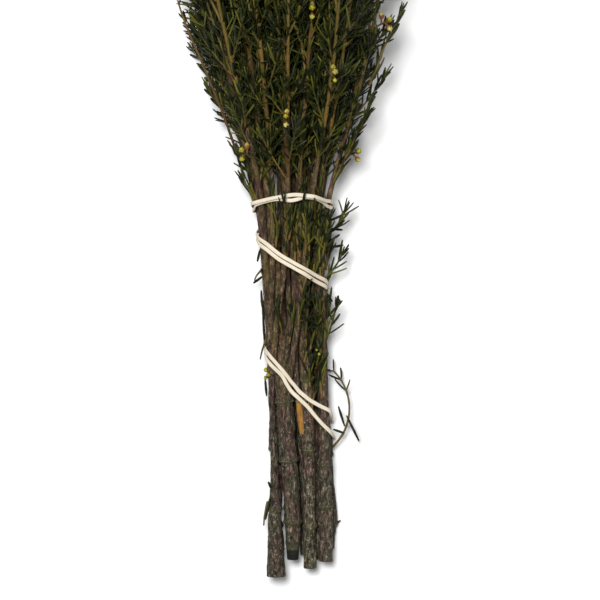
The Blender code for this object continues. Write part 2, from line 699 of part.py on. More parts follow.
def make_wood(axes, room):
    """Each thick stem and its branches, joined as one solid."""
    for number in range(len(MAIN_STEMS)):
        name = f"woody_stem_{number + 1}"
        own = [a for a in axes if a["number"] == number]
        sides = 8 if number < FRONT_STEMS else 6
        stem = object_from(name, wood_tube(own[0], sides), FINISHES["bark"], 50)
        branches = bpy.data.collections.new(name + "_branches")
        bpy.context.scene.collection.children.link(branches)
        for i, axis in enumerate(own[1:]):
            branch = object_from(f"{name}_branch_{i}", wood_tube(axis, 5), FINISHES["bark"])
            bpy.context.scene.collection.objects.unlink(branch)
            branches.objects.link(branch)
        join(stem, branches)
        for axis in own:
            ys = np.arange(axis["start"], axis["green"] + 1, 8.0).tolist()
            room.add(number, [point_on(axis, y) for y in ys], [stem_radius(axis, y) for y in ys])


def join(target, collection):
    """Unites a collection's objects with target, then removes them."""
    if collection.objects:
        union = target.modifiers.new("union", "BOOLEAN")
        union.operation = "UNION"
        union.operand_type = "COLLECTION"
        union.collection = collection
        union.solver = "EXACT"
        graph = bpy.context.evaluated_depsgraph_get()
        graph.update()
        joined = bpy.data.meshes.new_from_object(target.evaluated_get(graph))
        target.modifiers.clear()
        target.data = joined
        for obj in list(collection.objects):
            bpy.data.objects.remove(obj)
    bpy.data.collections.remove(collection)


def plan_sprays(axes, room):
    """The leafy upper part of each axis: its twig first, so that all of them keep their places."""
    sprays = []
    for k, axis in enumerate(axes):
        low, high = axis["green"] + GAP + 0.1, axis["top"]
        ys = [low + (high - low) * i / 12 for i in range(13)]
        points = [point_on(axis, y) for y in ys]
        length = high - low
        stations = [length * (0.04 + 0.91 * (i / 7) ** 0.94) for i in range(8)]
        start_radius = stem_radius(axis, low)
        owner = SPRAY_OWNER + k
        spray = Shoot(owner, points, (start_radius, TIP_RADIUS), stations)
        room.add(owner, spray.points, spray.radii)
        sprays.append(spray)
    return sprays


def dress_sprays(sprays, room):
    """Side shoots first, then a leaf pair at each station, taking the sprays in turn."""
    rng = random.Random(5)
    side_shoots = []
    for station in (2, 4):
        for k, spray in enumerate(sprays):
            faces = [(k + station + n) % 4 for n in range(4)]
            shoot = spray.try_shoot(room, station, faces, rng)
            side_shoots.append((spray, station, shoot))
    for station in range(7, -1, -1):
        for spray in sprays:
            first = station % 2
            for face in (first, first + 2):
                if (station, face) not in spray.shoots:
                    spray.try_leaf(room, station, face, rng)
    for _, _, shoot in side_shoots:
        if shoot:
            for station in range(len(shoot.stations)):
                for face in (station % 2, station % 2 + 2):
                    shoot.try_leaf(room, station, face, rng)


def make_sprays(sprays):
    for k, spray in enumerate(sprays):
        bm = bmesh.new()
        spray.build(bm)
        object_from(f"leafy_spray_{k + 1}", bm, FINISHES["leaf"])


def surface_root(axes, x, y, azimuth):
    """A point just off the bundle's surface, found by going in from outside along the azimuth."""
    angle = math.radians(azimuth)
    outward = Vector((math.cos(angle), 0, math.sin(angle)))
    best = None
    for axis in axes:
        if not axis["start"] < y < axis["top"] - 5:
            continue
        centre = point_on(axis, y)
        off = abs(centre.x - x)
        reach = centre.dot(outward) - 1.6 * off
        if best is None or reach > best[0]:
            best = (reach, centre + outward * (stem_radius(axis, y) + SPRIG_RADIUS + 2 * GAP))
    return best[1], outward


def make_side_sprigs(axes, room):
    """The few leafy shoots that stand out between the wraps of the band."""
    rng = random.Random(3)
    sprigs = []
    for n, (x, y, azimuth, lean, curl, length, pairs) in enumerate(SIDE_SPRIGS):
        owner = SPRIG_OWNER + n
        for shift, tilt in NUDGES:
            root, outward = surface_root(axes, x, y + shift, azimuth)
            points = curled(root, outward, lean + math.copysign(tilt, 90 - lean), curl, length)
            if all(room.clear(owner, p, q, SPRIG_RADIUS) for p, q in zip(points, points[1:])):
                break
        room.add(owner, points, (SPRIG_RADIUS,) * (len(points) - 1))
        stations = [length * (0.4 + 0.55 * (i + 0.5) / pairs) for i in range(pairs)]
        across = outward.cross(points[1] - points[0]).normalized()
        shoot = Shoot(owner, points, (SPRIG_RADIUS, 0.45), stations, across)
        sprigs.append((f"side_sprig_{n + 1}", shoot))
    for _, shoot in sprigs:
        for station in range(len(shoot.stations)):
            for face in (station % 2, station % 2 + 2):
                shoot.try_leaf(room, station, face, rng, SPRIG_LEAF)
    for name, shoot in sprigs:
        bm = bmesh.new()
        shoot.build(bm)
        object_from(name, bm, FINISHES["leaf"])


def side_buds(root, heading, across):
    """Where each of the two side buds leaves the stalk: its station, face, root and direction."""
    over = heading.cross(across)
    for station, (share, face) in enumerate(((0.45, 1), (0.75, 3))):
        angle = math.tau * face / 4
        facing = math.cos(angle) * across + math.sin(angle) * over
        aim = (facing * 1.25 + heading * 0.6).normalized()
        yield station, face, root + heading * (share * BUD_STALK), aim


def bud_rods(root, heading, across):
    """The cluster as rods: the stalk, and a stalk and a bud for each of its ends."""
    end = root + heading * BUD_STALK
    rods = [(root, end, STALK_RADIUS), (end, end + heading * BUD_LENGTH, BUD_RADIUS)]
    for _, _, start, aim in side_buds(root, heading, across):
        foot = start + aim * SIDE_STALK
        rods += [(start, foot, STALK_RADIUS), (foot, foot + aim * BUD_LENGTH, BUD_RADIUS)]
    return rods


def bud_at(start, heading, swell):
    """Points and radii of a bud that sits at start, on the end of its stalk."""
    points = [start + heading * (t * BUD_LENGTH) for t, _ in swell]
    return points, [r * BUD_RADIUS for _, r in swell]


def grow_bud_cluster(bm, root, heading, across):
    """A stalk with one bud at its end and one on either side of it."""
    growths = {}
    shares = [0.0]
    for station, face, start, aim in side_buds(root, heading, across):
        share = (start - root).length / BUD_STALK
        shares += [share - 0.06, share + 0.06]

        def side_bud(b, base, start=start, aim=aim):
            tips, radii = bud_at(start + aim * SIDE_STALK, aim, SMALL_BUD_SWELL)
            side = (base[0].co - base[3].co).normalized()
            tube(b, [start, *tips], [STALK_RADIUS, *radii], 4, first_ring=as_ring(base), first_side=side)

        growths[(1 + 2 * station, face)] = side_bud
    stalk = [root + heading * (s * BUD_STALK) for s in shares]
    points, radii = bud_at(root + heading * BUD_STALK, heading, BUD_SWELL)
    radii = [STALK_RADIUS] * len(stalk) + radii
    tube(bm, stalk + points, radii, 4, growths, first_side=across)


def make_bud_sprigs(axes, room):
    for n, (x, y, azimuth) in enumerate(BUD_SPRIGS):
        owner = BUD_OWNER + n
        for shift, tilt in NUDGES:
            root, outward = surface_root(axes, x, y - BUD_STALK + shift, azimuth)
            angle = math.radians(BUD_LEAN + tilt)
            heading = Vector((0, math.cos(angle), 0)) + outward * math.sin(angle)
            across = heading.cross(outward).normalized()
            rods = bud_rods(root, heading, across)
            if all(room.clear(owner, p, q, radius) for p, q, radius in rods):
                break
        for p, q, radius in rods:
            room.add(owner, (p, q), (radius,))
        bm = bmesh.new()
        grow_bud_cluster(bm, root, heading, across)
        object_from(f"bud_sprig_{n + 1}", bm, FINISHES["bud"], 60)


for old in list(bpy.data.objects):
    bpy.data.objects.remove(old)

# Owners in Room: the woody stems are 0 to 8, then one number for each other piece
BAND_OWNER, SPRAY_OWNER, SPRIG_OWNER, BUD_OWNER = 50, 100, 200, 300
FINISHES = {
    "bark": material("bark", BARK, 0.85),
    "leaf": material("leaf", TWIG_GREEN, 0.55),
    "bud": material("bud", BUD_YELLOW, 0.6),
    "rubber": material("rubber", RUBBER, 0.5),
}


def main():
    room = Room()
    axes = make_axes()
    make_wood(axes, room)
    make_band(axes, room)
    sprays = plan_sprays(axes, room)
    make_bud_sprigs(axes, room)
    make_side_sprigs(axes, room)
    dress_sprays(sprays, room)
    make_sprays(sprays)


main()
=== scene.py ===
"""The looks of a bundle of cut, needle-leaved stems bound by a rubber band, lying on a pale table.

Lengths are millimetres until a mesh is made. +Y runs from the cut ends to the leafy tips, +Z up.
"""

import math
import random

import bpy
import numpy as np
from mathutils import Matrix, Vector, noise


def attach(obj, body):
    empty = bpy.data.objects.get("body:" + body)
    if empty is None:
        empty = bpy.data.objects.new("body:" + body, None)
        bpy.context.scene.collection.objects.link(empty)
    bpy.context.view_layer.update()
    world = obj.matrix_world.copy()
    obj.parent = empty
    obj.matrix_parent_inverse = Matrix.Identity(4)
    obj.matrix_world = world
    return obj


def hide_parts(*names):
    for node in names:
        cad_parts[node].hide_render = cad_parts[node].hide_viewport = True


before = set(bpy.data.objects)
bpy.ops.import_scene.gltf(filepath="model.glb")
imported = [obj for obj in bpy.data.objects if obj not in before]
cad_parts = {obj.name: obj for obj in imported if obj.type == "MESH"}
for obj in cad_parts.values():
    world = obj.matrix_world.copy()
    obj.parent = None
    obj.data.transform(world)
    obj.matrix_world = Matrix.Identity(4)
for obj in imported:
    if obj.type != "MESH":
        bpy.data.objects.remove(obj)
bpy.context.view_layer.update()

MM = 0.001
GAP = 0.35  # clear space between two neighbouring pieces
# The levels along Y at which the stems are packed
STEP = 10.0
CUT_Y, TOP_Y = -190.0, 270.0
# The bundle's outline: an ellipse of stem centres that opens above the waist
WAIST_X, WAIST_Z = 15.6, 12.6
FAN_X, FAN_Z = 70.0, 38.0
FAN_X_RISE, FAN_Z_RISE = 155.0, 140.0
WAIST_CENTRE_X, WAIST_CENTRE_Z = -0.6, 11.4
FAN_FLOOR = 3.6  # height of the lowest stem centres where the leaves lie on the table
BAND_FLOOR = 1.3  # the stems are held this far off the table where the band runs under them
BAND_FROM, BAND_TO = -124.0, 8.0
# The thick stems: x, z and y of the cut end, then the radii at RADII_AT above the cut and at the waist
MAIN_STEMS = (
    (-7.3, 11.6, -188.5, (4.8, 4.1, 2.9, 1.8, 1.5, 1.6)),
    (1.0, 10.4, -180.0, (2.9, 3.8, 4.2, 4.2, 4.2, 2.7)),
    (8.7, 9.4, -184.5, (3.2, 3.1, 3.1, 3.2, 3.0, 2.4)),
    (17.2, 8.6, -181.0, (3.5, 3.4, 3.3, 3.0, 2.7, 2.3)),
    (-6.4, 3.3, -176.0, (3.2, 3.1, 3.0, 2.9, 2.8, 2.3)),
    (0.9, 3.1, -173.0, (3.0, 3.1, 2.9, 2.8, 2.7, 2.3)),
    (7.7, 2.9, -178.0, (2.8, 2.8, 2.7, 2.6, 2.6, 2.2)),
    (13.6, 2.6, -180.5, (2.5, 2.6, 2.5, 2.4, 2.3, 2.1)),
    (19.0, 2.5, -175.0, (2.4, 2.5, 2.4, 2.3, 2.3, 2.1)),
)
RADII_AT = (0, 15, 38, 52, 75)
LEANS = {1: -0.28}  # extra shift of a stem's waist place, as a share of the half-width
# Sideways shifts: stem and branch number, the y where the shift is greatest, its reach, then x and z
PULLS = (
    (0, 0, -108.0, 34.0, 1.8, -1.0), (1, 0, -108.0, 34.0, -1.7, 0.0), (2, 0, -108.0, 34.0, 2.4, 0.0),
    (2, 1, -108.0, 34.0, -6.6, 1.4), (3, 0, -108.0, 34.0, 2.2, 0.0), (3, 0, -50.0, 34.0, 5.2, 0.0),
)
BUTT_CENTRE, BUTT_HALF = (6.0, 7.2), (14.0, 6.5)
# The branches, which start on a thick stem below the waist and fill the other places there
AXES = 26
BRANCH_START = (-104.0, -30.0)
FORKS = {1: -99.0, 2: -129.0}  # the y at which the first branch leaves these thick stems
BRANCH_SPREAD = 55.0  # length over which a branch moves from its stem to its own place
BRANCHES_PER_STEM = 3
BRANCH_RADIUS = 1.75
WAIST_BRANCH_RADIUS = 1.35
FAN_RADIUS, TIP_RADIUS = 1.15, 0.5
FAN_THINS_BY = 60.0
CROOKEDNESS = 0.7  # how far the wood strays to either side below the waist
GOLDEN = math.pi * (3 - math.sqrt(5))
# Bark joints: rings where leaf pairs once sat on the thick stems
JOINT_EVERY, JOINT_HALF, JOINT_SWELL, JOINTS_END = 43.0, 2.2, 0.16, -20.0
SEEN_JOINTS = {0: (-155.0,), 1: (-161.5, -130.5, -101.0), 2: (-163.8, -125.0), 3: (-153.5, -132.5, -77.5)}
# Where the brown wood ends and the green leafy shoot begins
GREEN_FROM = (9.0, 46.0)
# The rubber band: a doubled strap wound down the bundle from the waist
STRAP_WIDTH, STRAP_THICK = 2.0, 0.8
BAND_TURN_STEP = 12.0
# Angle round the bundle from +X towards +Z, place along Y, distance between both strands, and 1
# where the first strand lies on top of the other one
BAND_COURSE = (
    (308, -1.6, 2.6, 0), (270, -1.35, 2.6, 0), (232, -2.4, 2.5, 0), (190, -4.2, 2.4, 0),
    (178, -3.9, 2.4, 0), (162, -3.2, 2.3, 1), (150, -1.9, 0.6, 1), (140, -0.95, 0.5, 1),
    (120, 0.55, 0.5, 1), (106, 0.8, 1.2, 1), (92, 0.45, 2.6, 1), (81, 0.9, 2.4, 1),
    (70, 1.9, 0.8, 1), (55, 0.95, 0.5, 1), (40, -0.1, 0.4, 1), (32, -0.9, 0.8, 1),
    (22, -2.0, 2.3, 1), (8, -3.1, 2.3, 0), (-10, -4.6, 2.4, 0), (-90, -11.5, 2.6, 0),
    (-180, -17.8, 2.7, 0), (-200, -19.5, 2.8, 0), (-212, -21.0, 2.9, 0), (-222, -23.8, 2.9, 0),
    (-231, -26.4, 2.8, 0), (-245, -28.8, 2.7, 0), (-272, -32.6, 2.7, 0), (-304, -37.2, 2.8, 0),
    (-324, -39.5, 2.9, 0), (-345, -42.0, 3.0, 0), (-360, -44.0, 3.0, 0), (-450, -59.5, 3.6, 0),
    (-540, -74.5, 3.8, 0), (-570, -77.5, 4.0, 0), (-583, -80.5, 4.2, 0), (-595, -88.0, 4.2, 0),
    (-619, -93.4, 4.2, 0), (-647, -97.1, 4.8, 0), (-663, -100.7, 5.9, 0), (-677, -104.1, 7.4, 0),
    (-689, -107.5, 9.0, 0), (-700, -111.2, 10.5, 0), (-720, -114.0, 9.6, 0), (-765, -117.0, 6.4, 0),
    (-800, -118.0, 4.4, 0),
)
SPRIG_RADIUS = 0.65
BUD_RADIUS, BUD_LENGTH, BUD_STALK, SIDE_STALK = 1.75, 4.4, 7.0, 2.4


def smooth(t):
    """0 below 0, 1 above 1, and an even rise between."""
    t = np.clip(t, 0.0, 1.0)
    return t * t * (3 - 2 * t)


def outline(y):
    """Half-width, half-height and centre (x, z) of the ellipse of stem centres at y."""
    up = np.maximum(y, 0.0)
    half_x = WAIST_X + FAN_X * (1 - np.exp(-up / FAN_X_RISE))
    half_z = WAIST_Z + FAN_Z * (1 - np.exp(-up / FAN_Z_RISE))
    settled = smooth(up / 70.0)
    centre_x = WAIST_CENTRE_X + 1.5 * settled
    centre_z = WAIST_CENTRE_Z * (1 - settled) + (half_z + FAN_FLOOR) * settled
    return half_x, half_z, centre_x, centre_z


def stem_radius(axis, y):
    """Radius of an axis at y, without its bark joints: one number, or one for each level."""
    if axis["main"]:
        ys = (*(axis["start"] + d for d in RADII_AT), 0.0, FAN_THINS_BY, axis["top"])
        rs = (*axis["radii"], FAN_RADIUS, TIP_RADIUS)
    else:
        ys = (axis["start"], 0.0, FAN_THINS_BY, axis["top"])
        rs = (BRANCH_RADIUS, WAIST_BRANCH_RADIUS, FAN_RADIUS * 0.9, TIP_RADIUS)
    radius = np.interp(y, ys, rs)
    return radius if np.ndim(y) else float(radius)


def bark_radius(axis, y):
    """Radius of an axis at y, with the swelling of its bark joints."""
    swell = max((1 - abs(y - j) / JOINT_HALF for j in axis["joints"]), default=0)
    return stem_radius(axis, y) * (1 + JOINT_SWELL * max(swell, 0))


def waist_places():
    """Places in the unit disc, spread as seeds are in a flower head."""
    reaches = [math.sqrt((i + 0.5) / AXES) for i in range(AXES)]
    return [(r * math.cos(i * GOLDEN), r * math.sin(i * GOLDEN)) for i, r in enumerate(reaches)]


def nearest(place, places):
    return min(places, key=lambda p: (p[0] - place[0]) ** 2 + (p[1] - place[1]) ** 2)


def plan_axes():
    """One dict for each thick stem, then for each branch: where it starts, its place and its parent."""
    rng = random.Random(11)
    free = waist_places()
    axes = []
    order = sorted(range(len(MAIN_STEMS)), key=lambda i: -abs(MAIN_STEMS[i][0] - BUTT_CENTRE[0]))
    for i in order:
        x, z, cut, radii = MAIN_STEMS[i]
        u, v = (0.8 * (w - c) / h for w, c, h in zip((x, z), BUTT_CENTRE, BUTT_HALF))
        place = nearest((u + LEANS.get(i, 0.0), v), free)
        free.remove(place)
        stem = {"main": True, "number": i, "branch": 0, "foot": (x, z), "start": cut, "radii": radii}
        axes.append({**stem, "place": place})
    axes.sort(key=lambda a: a["number"])
    children = [0] * len(axes)
    for place in free:
        open_stems = [i for i in range(len(MAIN_STEMS)) if children[i] < BRANCHES_PER_STEM]
        parent = min(open_stems, key=lambda i: math.dist(axes[i]["place"], place))
        children[parent] += 1
        branch = children[parent]
        start = rng.uniform(*BRANCH_START)
        if branch == 1:
            start = FORKS.get(parent, start)
        axes.append({"main": False, "number": parent, "branch": branch, "start": start, "place": place})
    for axis in axes:
        spread = math.hypot(*axis["place"])
        axis["top"] = 258.0 - 78.0 * spread**2 + rng.uniform(-14, 6)
        axis["green"] = rng.uniform(*GREEN_FROM)
        axis["joints"] = bark_joints(axis) if axis["main"] else []
        sideways = (rng.uniform(1.0, 3.0), rng.uniform(0, math.tau))
        axis["sway"] = (*sideways, rng.uniform(0.8, 2.0), rng.uniform(0, math.tau))
    return axes


def packed_radius(axis, levels):
    """Radius kept for an axis at each level: its bark joints' radius near a joint."""
    near_joint = [any(abs(y - j) < STEP for j in axis["joints"]) for y in levels]
    return stem_radius(axis, levels) * np.where(near_joint, 1 + JOINT_SWELL, 1.0)


def bark_joints(axis):
    """The y of each bark joint of a thick stem: the ones seen, then others at even distances."""
    number = axis["number"]
    seen = SEEN_JOINTS.get(number, (axis["start"] + 12.0 + 6.0 * (number % 4),))
    apart = JOINT_EVERY - 4.0 * (number % 3)
    further = math.ceil((JOINTS_END - seen[-1]) / apart)
    return [*seen, *(seen[-1] + apart * i for i in range(1, further))]


def wished_paths(axes, levels):
    """The x and z that each axis would take with nothing in its way."""
    half_x, half_z, centre_x, centre_z = outline(levels)
    paths = np.zeros((len(axes), len(levels), 2))
    for k, axis in enumerate(axes):
        u, v = axis["place"]
        reach_x, phase_x, reach_z, phase_z = axis["sway"]
        loose = smooth(levels / 60.0)
        crooked = (1 - loose) * CROOKEDNESS
        fan_x = centre_x + u * half_x + reach_x * loose * np.sin(levels / 33.0 + phase_x)
        fan_z = centre_z + v * half_z + reach_z * loose * np.sin(levels / 29.0 + phase_z)
        if axis["main"]:
            rise = smooth((levels - axis["start"]) / (0 - axis["start"]))
            from_x, from_z = axis["foot"]
        else:
            rise = smooth((levels - axis["start"]) / BRANCH_SPREAD)
            from_x, from_z = paths[axis["number"], :, 0], paths[axis["number"], :, 1]
        stray_x = crooked * np.sin(levels / 13.0 + phase_x)
        stray_z = crooked * np.sin(levels / 15.0 + phase_z)
        for number, branch, pull_y, reach, pull_x, pull_z in PULLS:
            if (number, branch) == (axis["number"], axis["branch"]):
                pulled = np.exp(-(((levels - pull_y) / reach) ** 2))
                stray_x = stray_x + pull_x * pulled
                stray_z = stray_z + pull_z * pulled
        paths[k, :, 0] = from_x * (1 - rise) + fan_x * rise + stray_x
        paths[k, :, 1] = from_z * (1 - rise) + fan_z * rise + stray_z
    return paths


def kinship(axes, levels):
    """For each pair and level, how far apart they have to be: 0 where one grows out of the other."""
    starts = np.array([a["start"] for a in axes])
    stems = np.array([a["number"] for a in axes])
    later = np.maximum(starts[:, None], starts[None])
    apart = smooth((levels[None, None] - later[:, :, None] - 6.0) / 40.0)
    same = stems[:, None] == stems[None]
    exists = levels[None, None] >= later[:, :, None] - STEP
    return np.where(same[:, :, None], apart, 1.0) * exists


def pack_axes(axes, levels):
    """Pushes overlapping stems apart, level by level, and lets them settle on the table."""
    wished = wished_paths(axes, levels)
    paths = wished.copy()
    radii = np.array([packed_radius(a, levels) for a in axes])
    floor = BAND_FLOOR * smooth((levels - BAND_FROM + 30) / 25) * (1 - smooth((levels - BAND_TO) / 20))
    need = (radii[:, None] + radii[None] + 2 * GAP) * kinship(axes, levels)
    need[np.arange(len(axes)), np.arange(len(axes))] = 0
    rounds = 260
    for turn in range(rounds):
        gap = paths[:, None] - paths[None]
        distance = np.sqrt((gap**2).sum(-1)) + 1e-6
        short = np.clip(need - distance, 0, None)
        paths += 0.42 * (short[..., None] * gap / distance[..., None]).sum(1)
        if turn < rounds - 60:
            paths += 0.03 * (wished - paths)
            paths[:, 1:-1] += 0.22 * (paths[:, 2:] + paths[:, :-2] - 2 * paths[:, 1:-1])
        paths[:, :, 1] = np.maximum(paths[:, :, 1], radii + floor)
        for k, axis in enumerate(axes):
            if not axis["main"]:
                below = levels < axis["start"]
                paths[k, below] = paths[axis["number"], below]
    return paths


def point_on(axis, y):
    """The axis's centre at y, on a smooth curve through its levels."""
    t = (y - CUT_Y) / STEP
    i = int(min(max(math.floor(t), 0), len(axis["path"]) - 2))
    f = t - i
    path = axis["path"]
    before, after = path[max(i - 1, 0)], path[min(i + 2, len(path) - 1)]
    a, b = path[i], path[i + 1]
    x, z = 0.5 * ((2 * a) + (b - before) * f + (2 * before - 5 * a + 4 * b - after) * f**2
                  + (3 * a - before - 3 * b + after) * f**3)
    return Vector((float(x), y, float(z)))


def make_axes():
    levels = np.arange(CUT_Y, TOP_Y + STEP / 2, STEP)
    axes = plan_axes()
    for axis, path in zip(axes, pack_axes(axes, levels)):
        axis["path"] = path
    return axes


def curled(root, outward, lean, curl, length, pieces=5):
    """A sprig's points: lean degrees from +Y towards outward at the root, and curl more at the tip."""
    points = [root.copy()]
    for i in range(pieces):
        angle = math.radians(lean + curl * i / (pieces - 1))
        heading = Vector((0, math.cos(angle), 0)) + outward * math.sin(angle)
        points.append(points[-1] + heading * (length / pieces))
        points[-1].z = max(points[-1].z, SPRIG_RADIUS)
    return points


def surface_root(axes, x, y, azimuth):
    """A point just off the bundle's surface, found by going in along the azimuth, and the way out."""
    angle = math.radians(azimuth)
    outward = Vector((math.cos(angle), 0, math.sin(angle)))

    def reach(axis):
        centre = point_on(axis, y)
        return centre.dot(outward) - 1.6 * abs(centre.x - x)

    axis = max((a for a in axes if a["start"] < y < a["top"] - 5), key=reach)
    root = point_on(axis, y) + outward * (stem_radius(axis, y) + SPRIG_RADIUS + 2 * GAP)
    return [round(c, 1) for c in root], outward


def band_course():
    """Angle, y, strand spacing and lift of the first strand, at even steps round the bundle."""
    course = np.array(BAND_COURSE)
    turns = np.arange(-course[0, 0], -course[-1, 0] + 1, BAND_TURN_STEP)
    ys, spacing, lifts = (np.interp(turns, -course[:, 0], course[:, i]) for i in (1, 2, 3))
    ys[1:-1] = 0.25 * ys[:-2] + 0.5 * ys[1:-1] + 0.25 * ys[2:]
    lifts = (STRAP_THICK + GAP) * smooth(1.3 * lifts)
    return [float(a) for a in np.radians(-turns)], ys.tolist(), spacing.tolist(), lifts.tolist()


def hull_point(axes, angle, y, off):
    """Where a taut strap lies: on the hull of all stems near y, off from their surface."""
    near = [y + d for d in (-2.8, -1.4, 0, 1.4, 2.8)]
    met = [(a, v) for v in near for a in axes if a["start"] - 2 <= v]
    circles = [(*point_on(a, v).xz, bark_radius(a, v) + off) for a, v in met]
    xs, zs, rs = (np.array(c) for c in zip(*circles))
    centre_x, centre_z = xs.mean(), zs.mean()
    around = np.linspace(0, math.tau, 181)
    from_centre_x, from_centre_z = xs - centre_x, zs - centre_z
    reach = np.array([(from_centre_x * math.cos(t) + from_centre_z * math.sin(t) + rs).max() for t in around])
    facing = np.cos(around - angle)
    ahead = facing > 0.2
    radii = reach[ahead] / facing[ahead]
    radius = float(radii.min())
    normal_angle = float(around[ahead][radii.argmin()])
    centre = Vector((float(centre_x), y, float(centre_z)))
    point = centre + Vector((radius * math.cos(angle), 0, radius * math.sin(angle)))
    return point, Vector((math.cos(normal_angle), 0, math.sin(normal_angle)))


def band_loop(axes):
    """Centre points and surface normals of the band's one closed loop: down one strand, up the other."""
    angles, ys, spacing, lifts = band_course()
    off = 1.6 * GAP + STRAP_THICK / 2
    down = [hull_point(axes, a, y + s / 2, off + e) for a, y, s, e in zip(angles, ys, spacing, lifts)]
    back = [hull_point(axes, a, y - s / 2, off) for a, y, s in zip(angles, ys, spacing)]
    bends = []
    for angle, y, s, way in ((angles[-1], ys[-1], spacing[-1], -1), (angles[0], ys[0], spacing[0], 1)):
        bend = []
        for turn in (45, 0, -45):
            t = math.radians(turn)
            past = s / 2 * math.cos(t) / 16.0
            bend.append(hull_point(axes, angle + way * past, y + s / 2 * math.sin(t), off))
        bends.append(bend)
    return down + bends[0] + back[::-1] + bends[1][::-1]


# From here on, only what the scene adds

# Where the small low shoots leave the bundle: x, y, azimuth, lean, change of lean, length
SPRIG_PLACES = (
    (19, -123, 20, 45, -92, 42), (-14, -71, 155, 157, 12, 9), (-15, -36, 160, 135, 25, 5),
    (19, -38, 15, 45, -20, 14), (18, -17, 20, 50, -25, 14), (12, -31, 60, 20, -10, 22),
    (5, -26, 90, 18, -8, 20), (8, -67, 80, 30, -15, 17), (16, -68, 45, 28, -12, 16),
    (-4, -12, 100, 30, -6, 11), (-11, -153, 160, 165, 12, 10),
)
# Where the bud clusters leave it: x, y, azimuth, lean
BUD_PLACES = (
    (13.5, 89, 90, 69), (22.5, 58, 80, 69), (46, 85, 40, 69), (-3.5, 37, 95, 69), (-18, 21, 120, 69),
    (35, 21, 30, 69), (-40, 143, 130, 61), (12, 168, 90, 61), (48, 183, 50, 61), (-14, 208, 100, 61),
)

# Needle sections: share of the length, of the half-width and of the half-thickness
NEEDLE = ((0.0, 0.5, 0.8), (0.22, 0.86, 1.0), (0.62, 1.0, 1.0), (0.92, 0.66, 0.8))
NEEDLE_SECTION = ((1.0, 0.0), (0.5, 0.8), (-0.5, 0.8), (-1.0, 0.0), (0.0, -1.1))
NEEDLE_LENGTH, CROWN_LENGTH = (7.5, 13.5), (5, 10)  # along a shoot, and at its tip
NEEDLE_HALF_WIDTH, NEEDLE_HALF_THICK = (0.64, 0.92), 0.40
PAIRS_APART = 3.4  # from one pair of needles to the next
# Side shoots of a leafy stem: how far apart and how long they are, how far they lean and then turn to +Y
SHOOTS_APART = (7.0, 10.5)
LONG_SHOOT, SHORT_SHOOT, SMALL_SHOOT = (48, 78), (14, 30), (10, 18)
STEEP_LEAN, WIDE_LEAN = (12, 22), (26, 42)
SHOOT_LIFT = 0.3

# The outline of the leafy part: y, then the least and the greatest x, and how much of any excess stays
FENCE = (
    (0, -20, 23), (10, -25, 26), (20, -28, 26), (30, -34, 34), (40, -39, 40), (60, -42, 46), (80, -52, 52),
    (100, -57, 55), (180, -72, 72), (260, -70, 70),
)
FENCE_KEEPS = 0.3
FENCE_REACH = 3.0  # how far a needle's tip may pass the outline

BARK_SIDES, BRANCH_SIDES, BARK_STEP = 30, 14, 1.1
TWIG_SIDES = 7
# Ridges, grain and lumps of the bark: noise scale across and along, height, share of the stem's shift
RELIEF = ((0.9, 0.13, 0.24, 1.0), (2.4, 0.8, 0.2, -1.0), (0.22, 0.13, 0.34, 0.5))
# The ring, its edge and the groove under it at a joint: share of the radius, height up the stem, reach
COLLAR = ((0.13, 0.0, 2.4), (0.13, 0.3, 0.7), (-0.2, -1.6, 0.8))
SCAR_HEIGHT = 0.55
FORK_FLARE, FORK_REACH = 0.55, 7.0  # how much wider a branch is where it leaves its stem

# Stem and branch numbers: the stem whose cut end is dark, and the branch that has lost some bark
DARK_END, PEELED = (1, 0), (2, 1)
PEELED_FROM, PEELED_TO = -116.5, -102.0

LOWEST_SHOOT = 6.0  # y of the lowest leafy side shoots, just above the band

# Leafy shoots pressed on the bundle, by the low shoot whose piece they are in: x, y, length, drift
PRESSED = {
    5: ((10.5, -47, 20, 2), (15, -44, 22, -1), (16.5, -24, 19, 1), (12, -22, 18, 1.5)),
    6: ((2.5, -23, 21, 0.5), (6.5, -21, 19, 0), (10.5, -22, 20, 0.5), (13.5, -21, 19, 0.8),
        (-1, -20, 18, 0.5), (9.5, -37, 20, 1), (13.5, -39, 20, 0.5), (-3, -30, 26, 1.5),
        (1, -32, 30, -0.5), (4.5, -29, 27, 1), (8, -26, 22, 0.5), (-7.5, -24, 18, -1), (5, -48, 18, 3)),
    7: ((-1, -72, 17, 1), (3.5, -63, 16, 2), (8.5, -94, 16, 1.5), (-5.5, -70, 18, -1)),
    8: ((7, -60, 16, 1), (12, -68, 18, 1), (15.5, -82, 19, -1), (10.5, -106, 19, 1),
        (14.5, -100, 17, 0.5), (6, -82, 17, 1.5), (11.5, -88, 20, 2.5), (15, -64, 18, -1.5),
        (9, -76, 16, 3.5), (12.5, -58, 13, -4)),
    9: ((2.5, -10, 14, 1.5), (6.5, -8, 13, 0), (12.5, -6, 12, 2), (-9, -7, 13, -2)),
}
PRESSED_LEANS, PRESSED_SIZE = (7, 27), 0.85
ARCHING = 0  # the low shoot that arches out at the right
FEW_LEAVED = (0, 1, 2, 10)  # low shoots with few leaves and none crowded at the tip
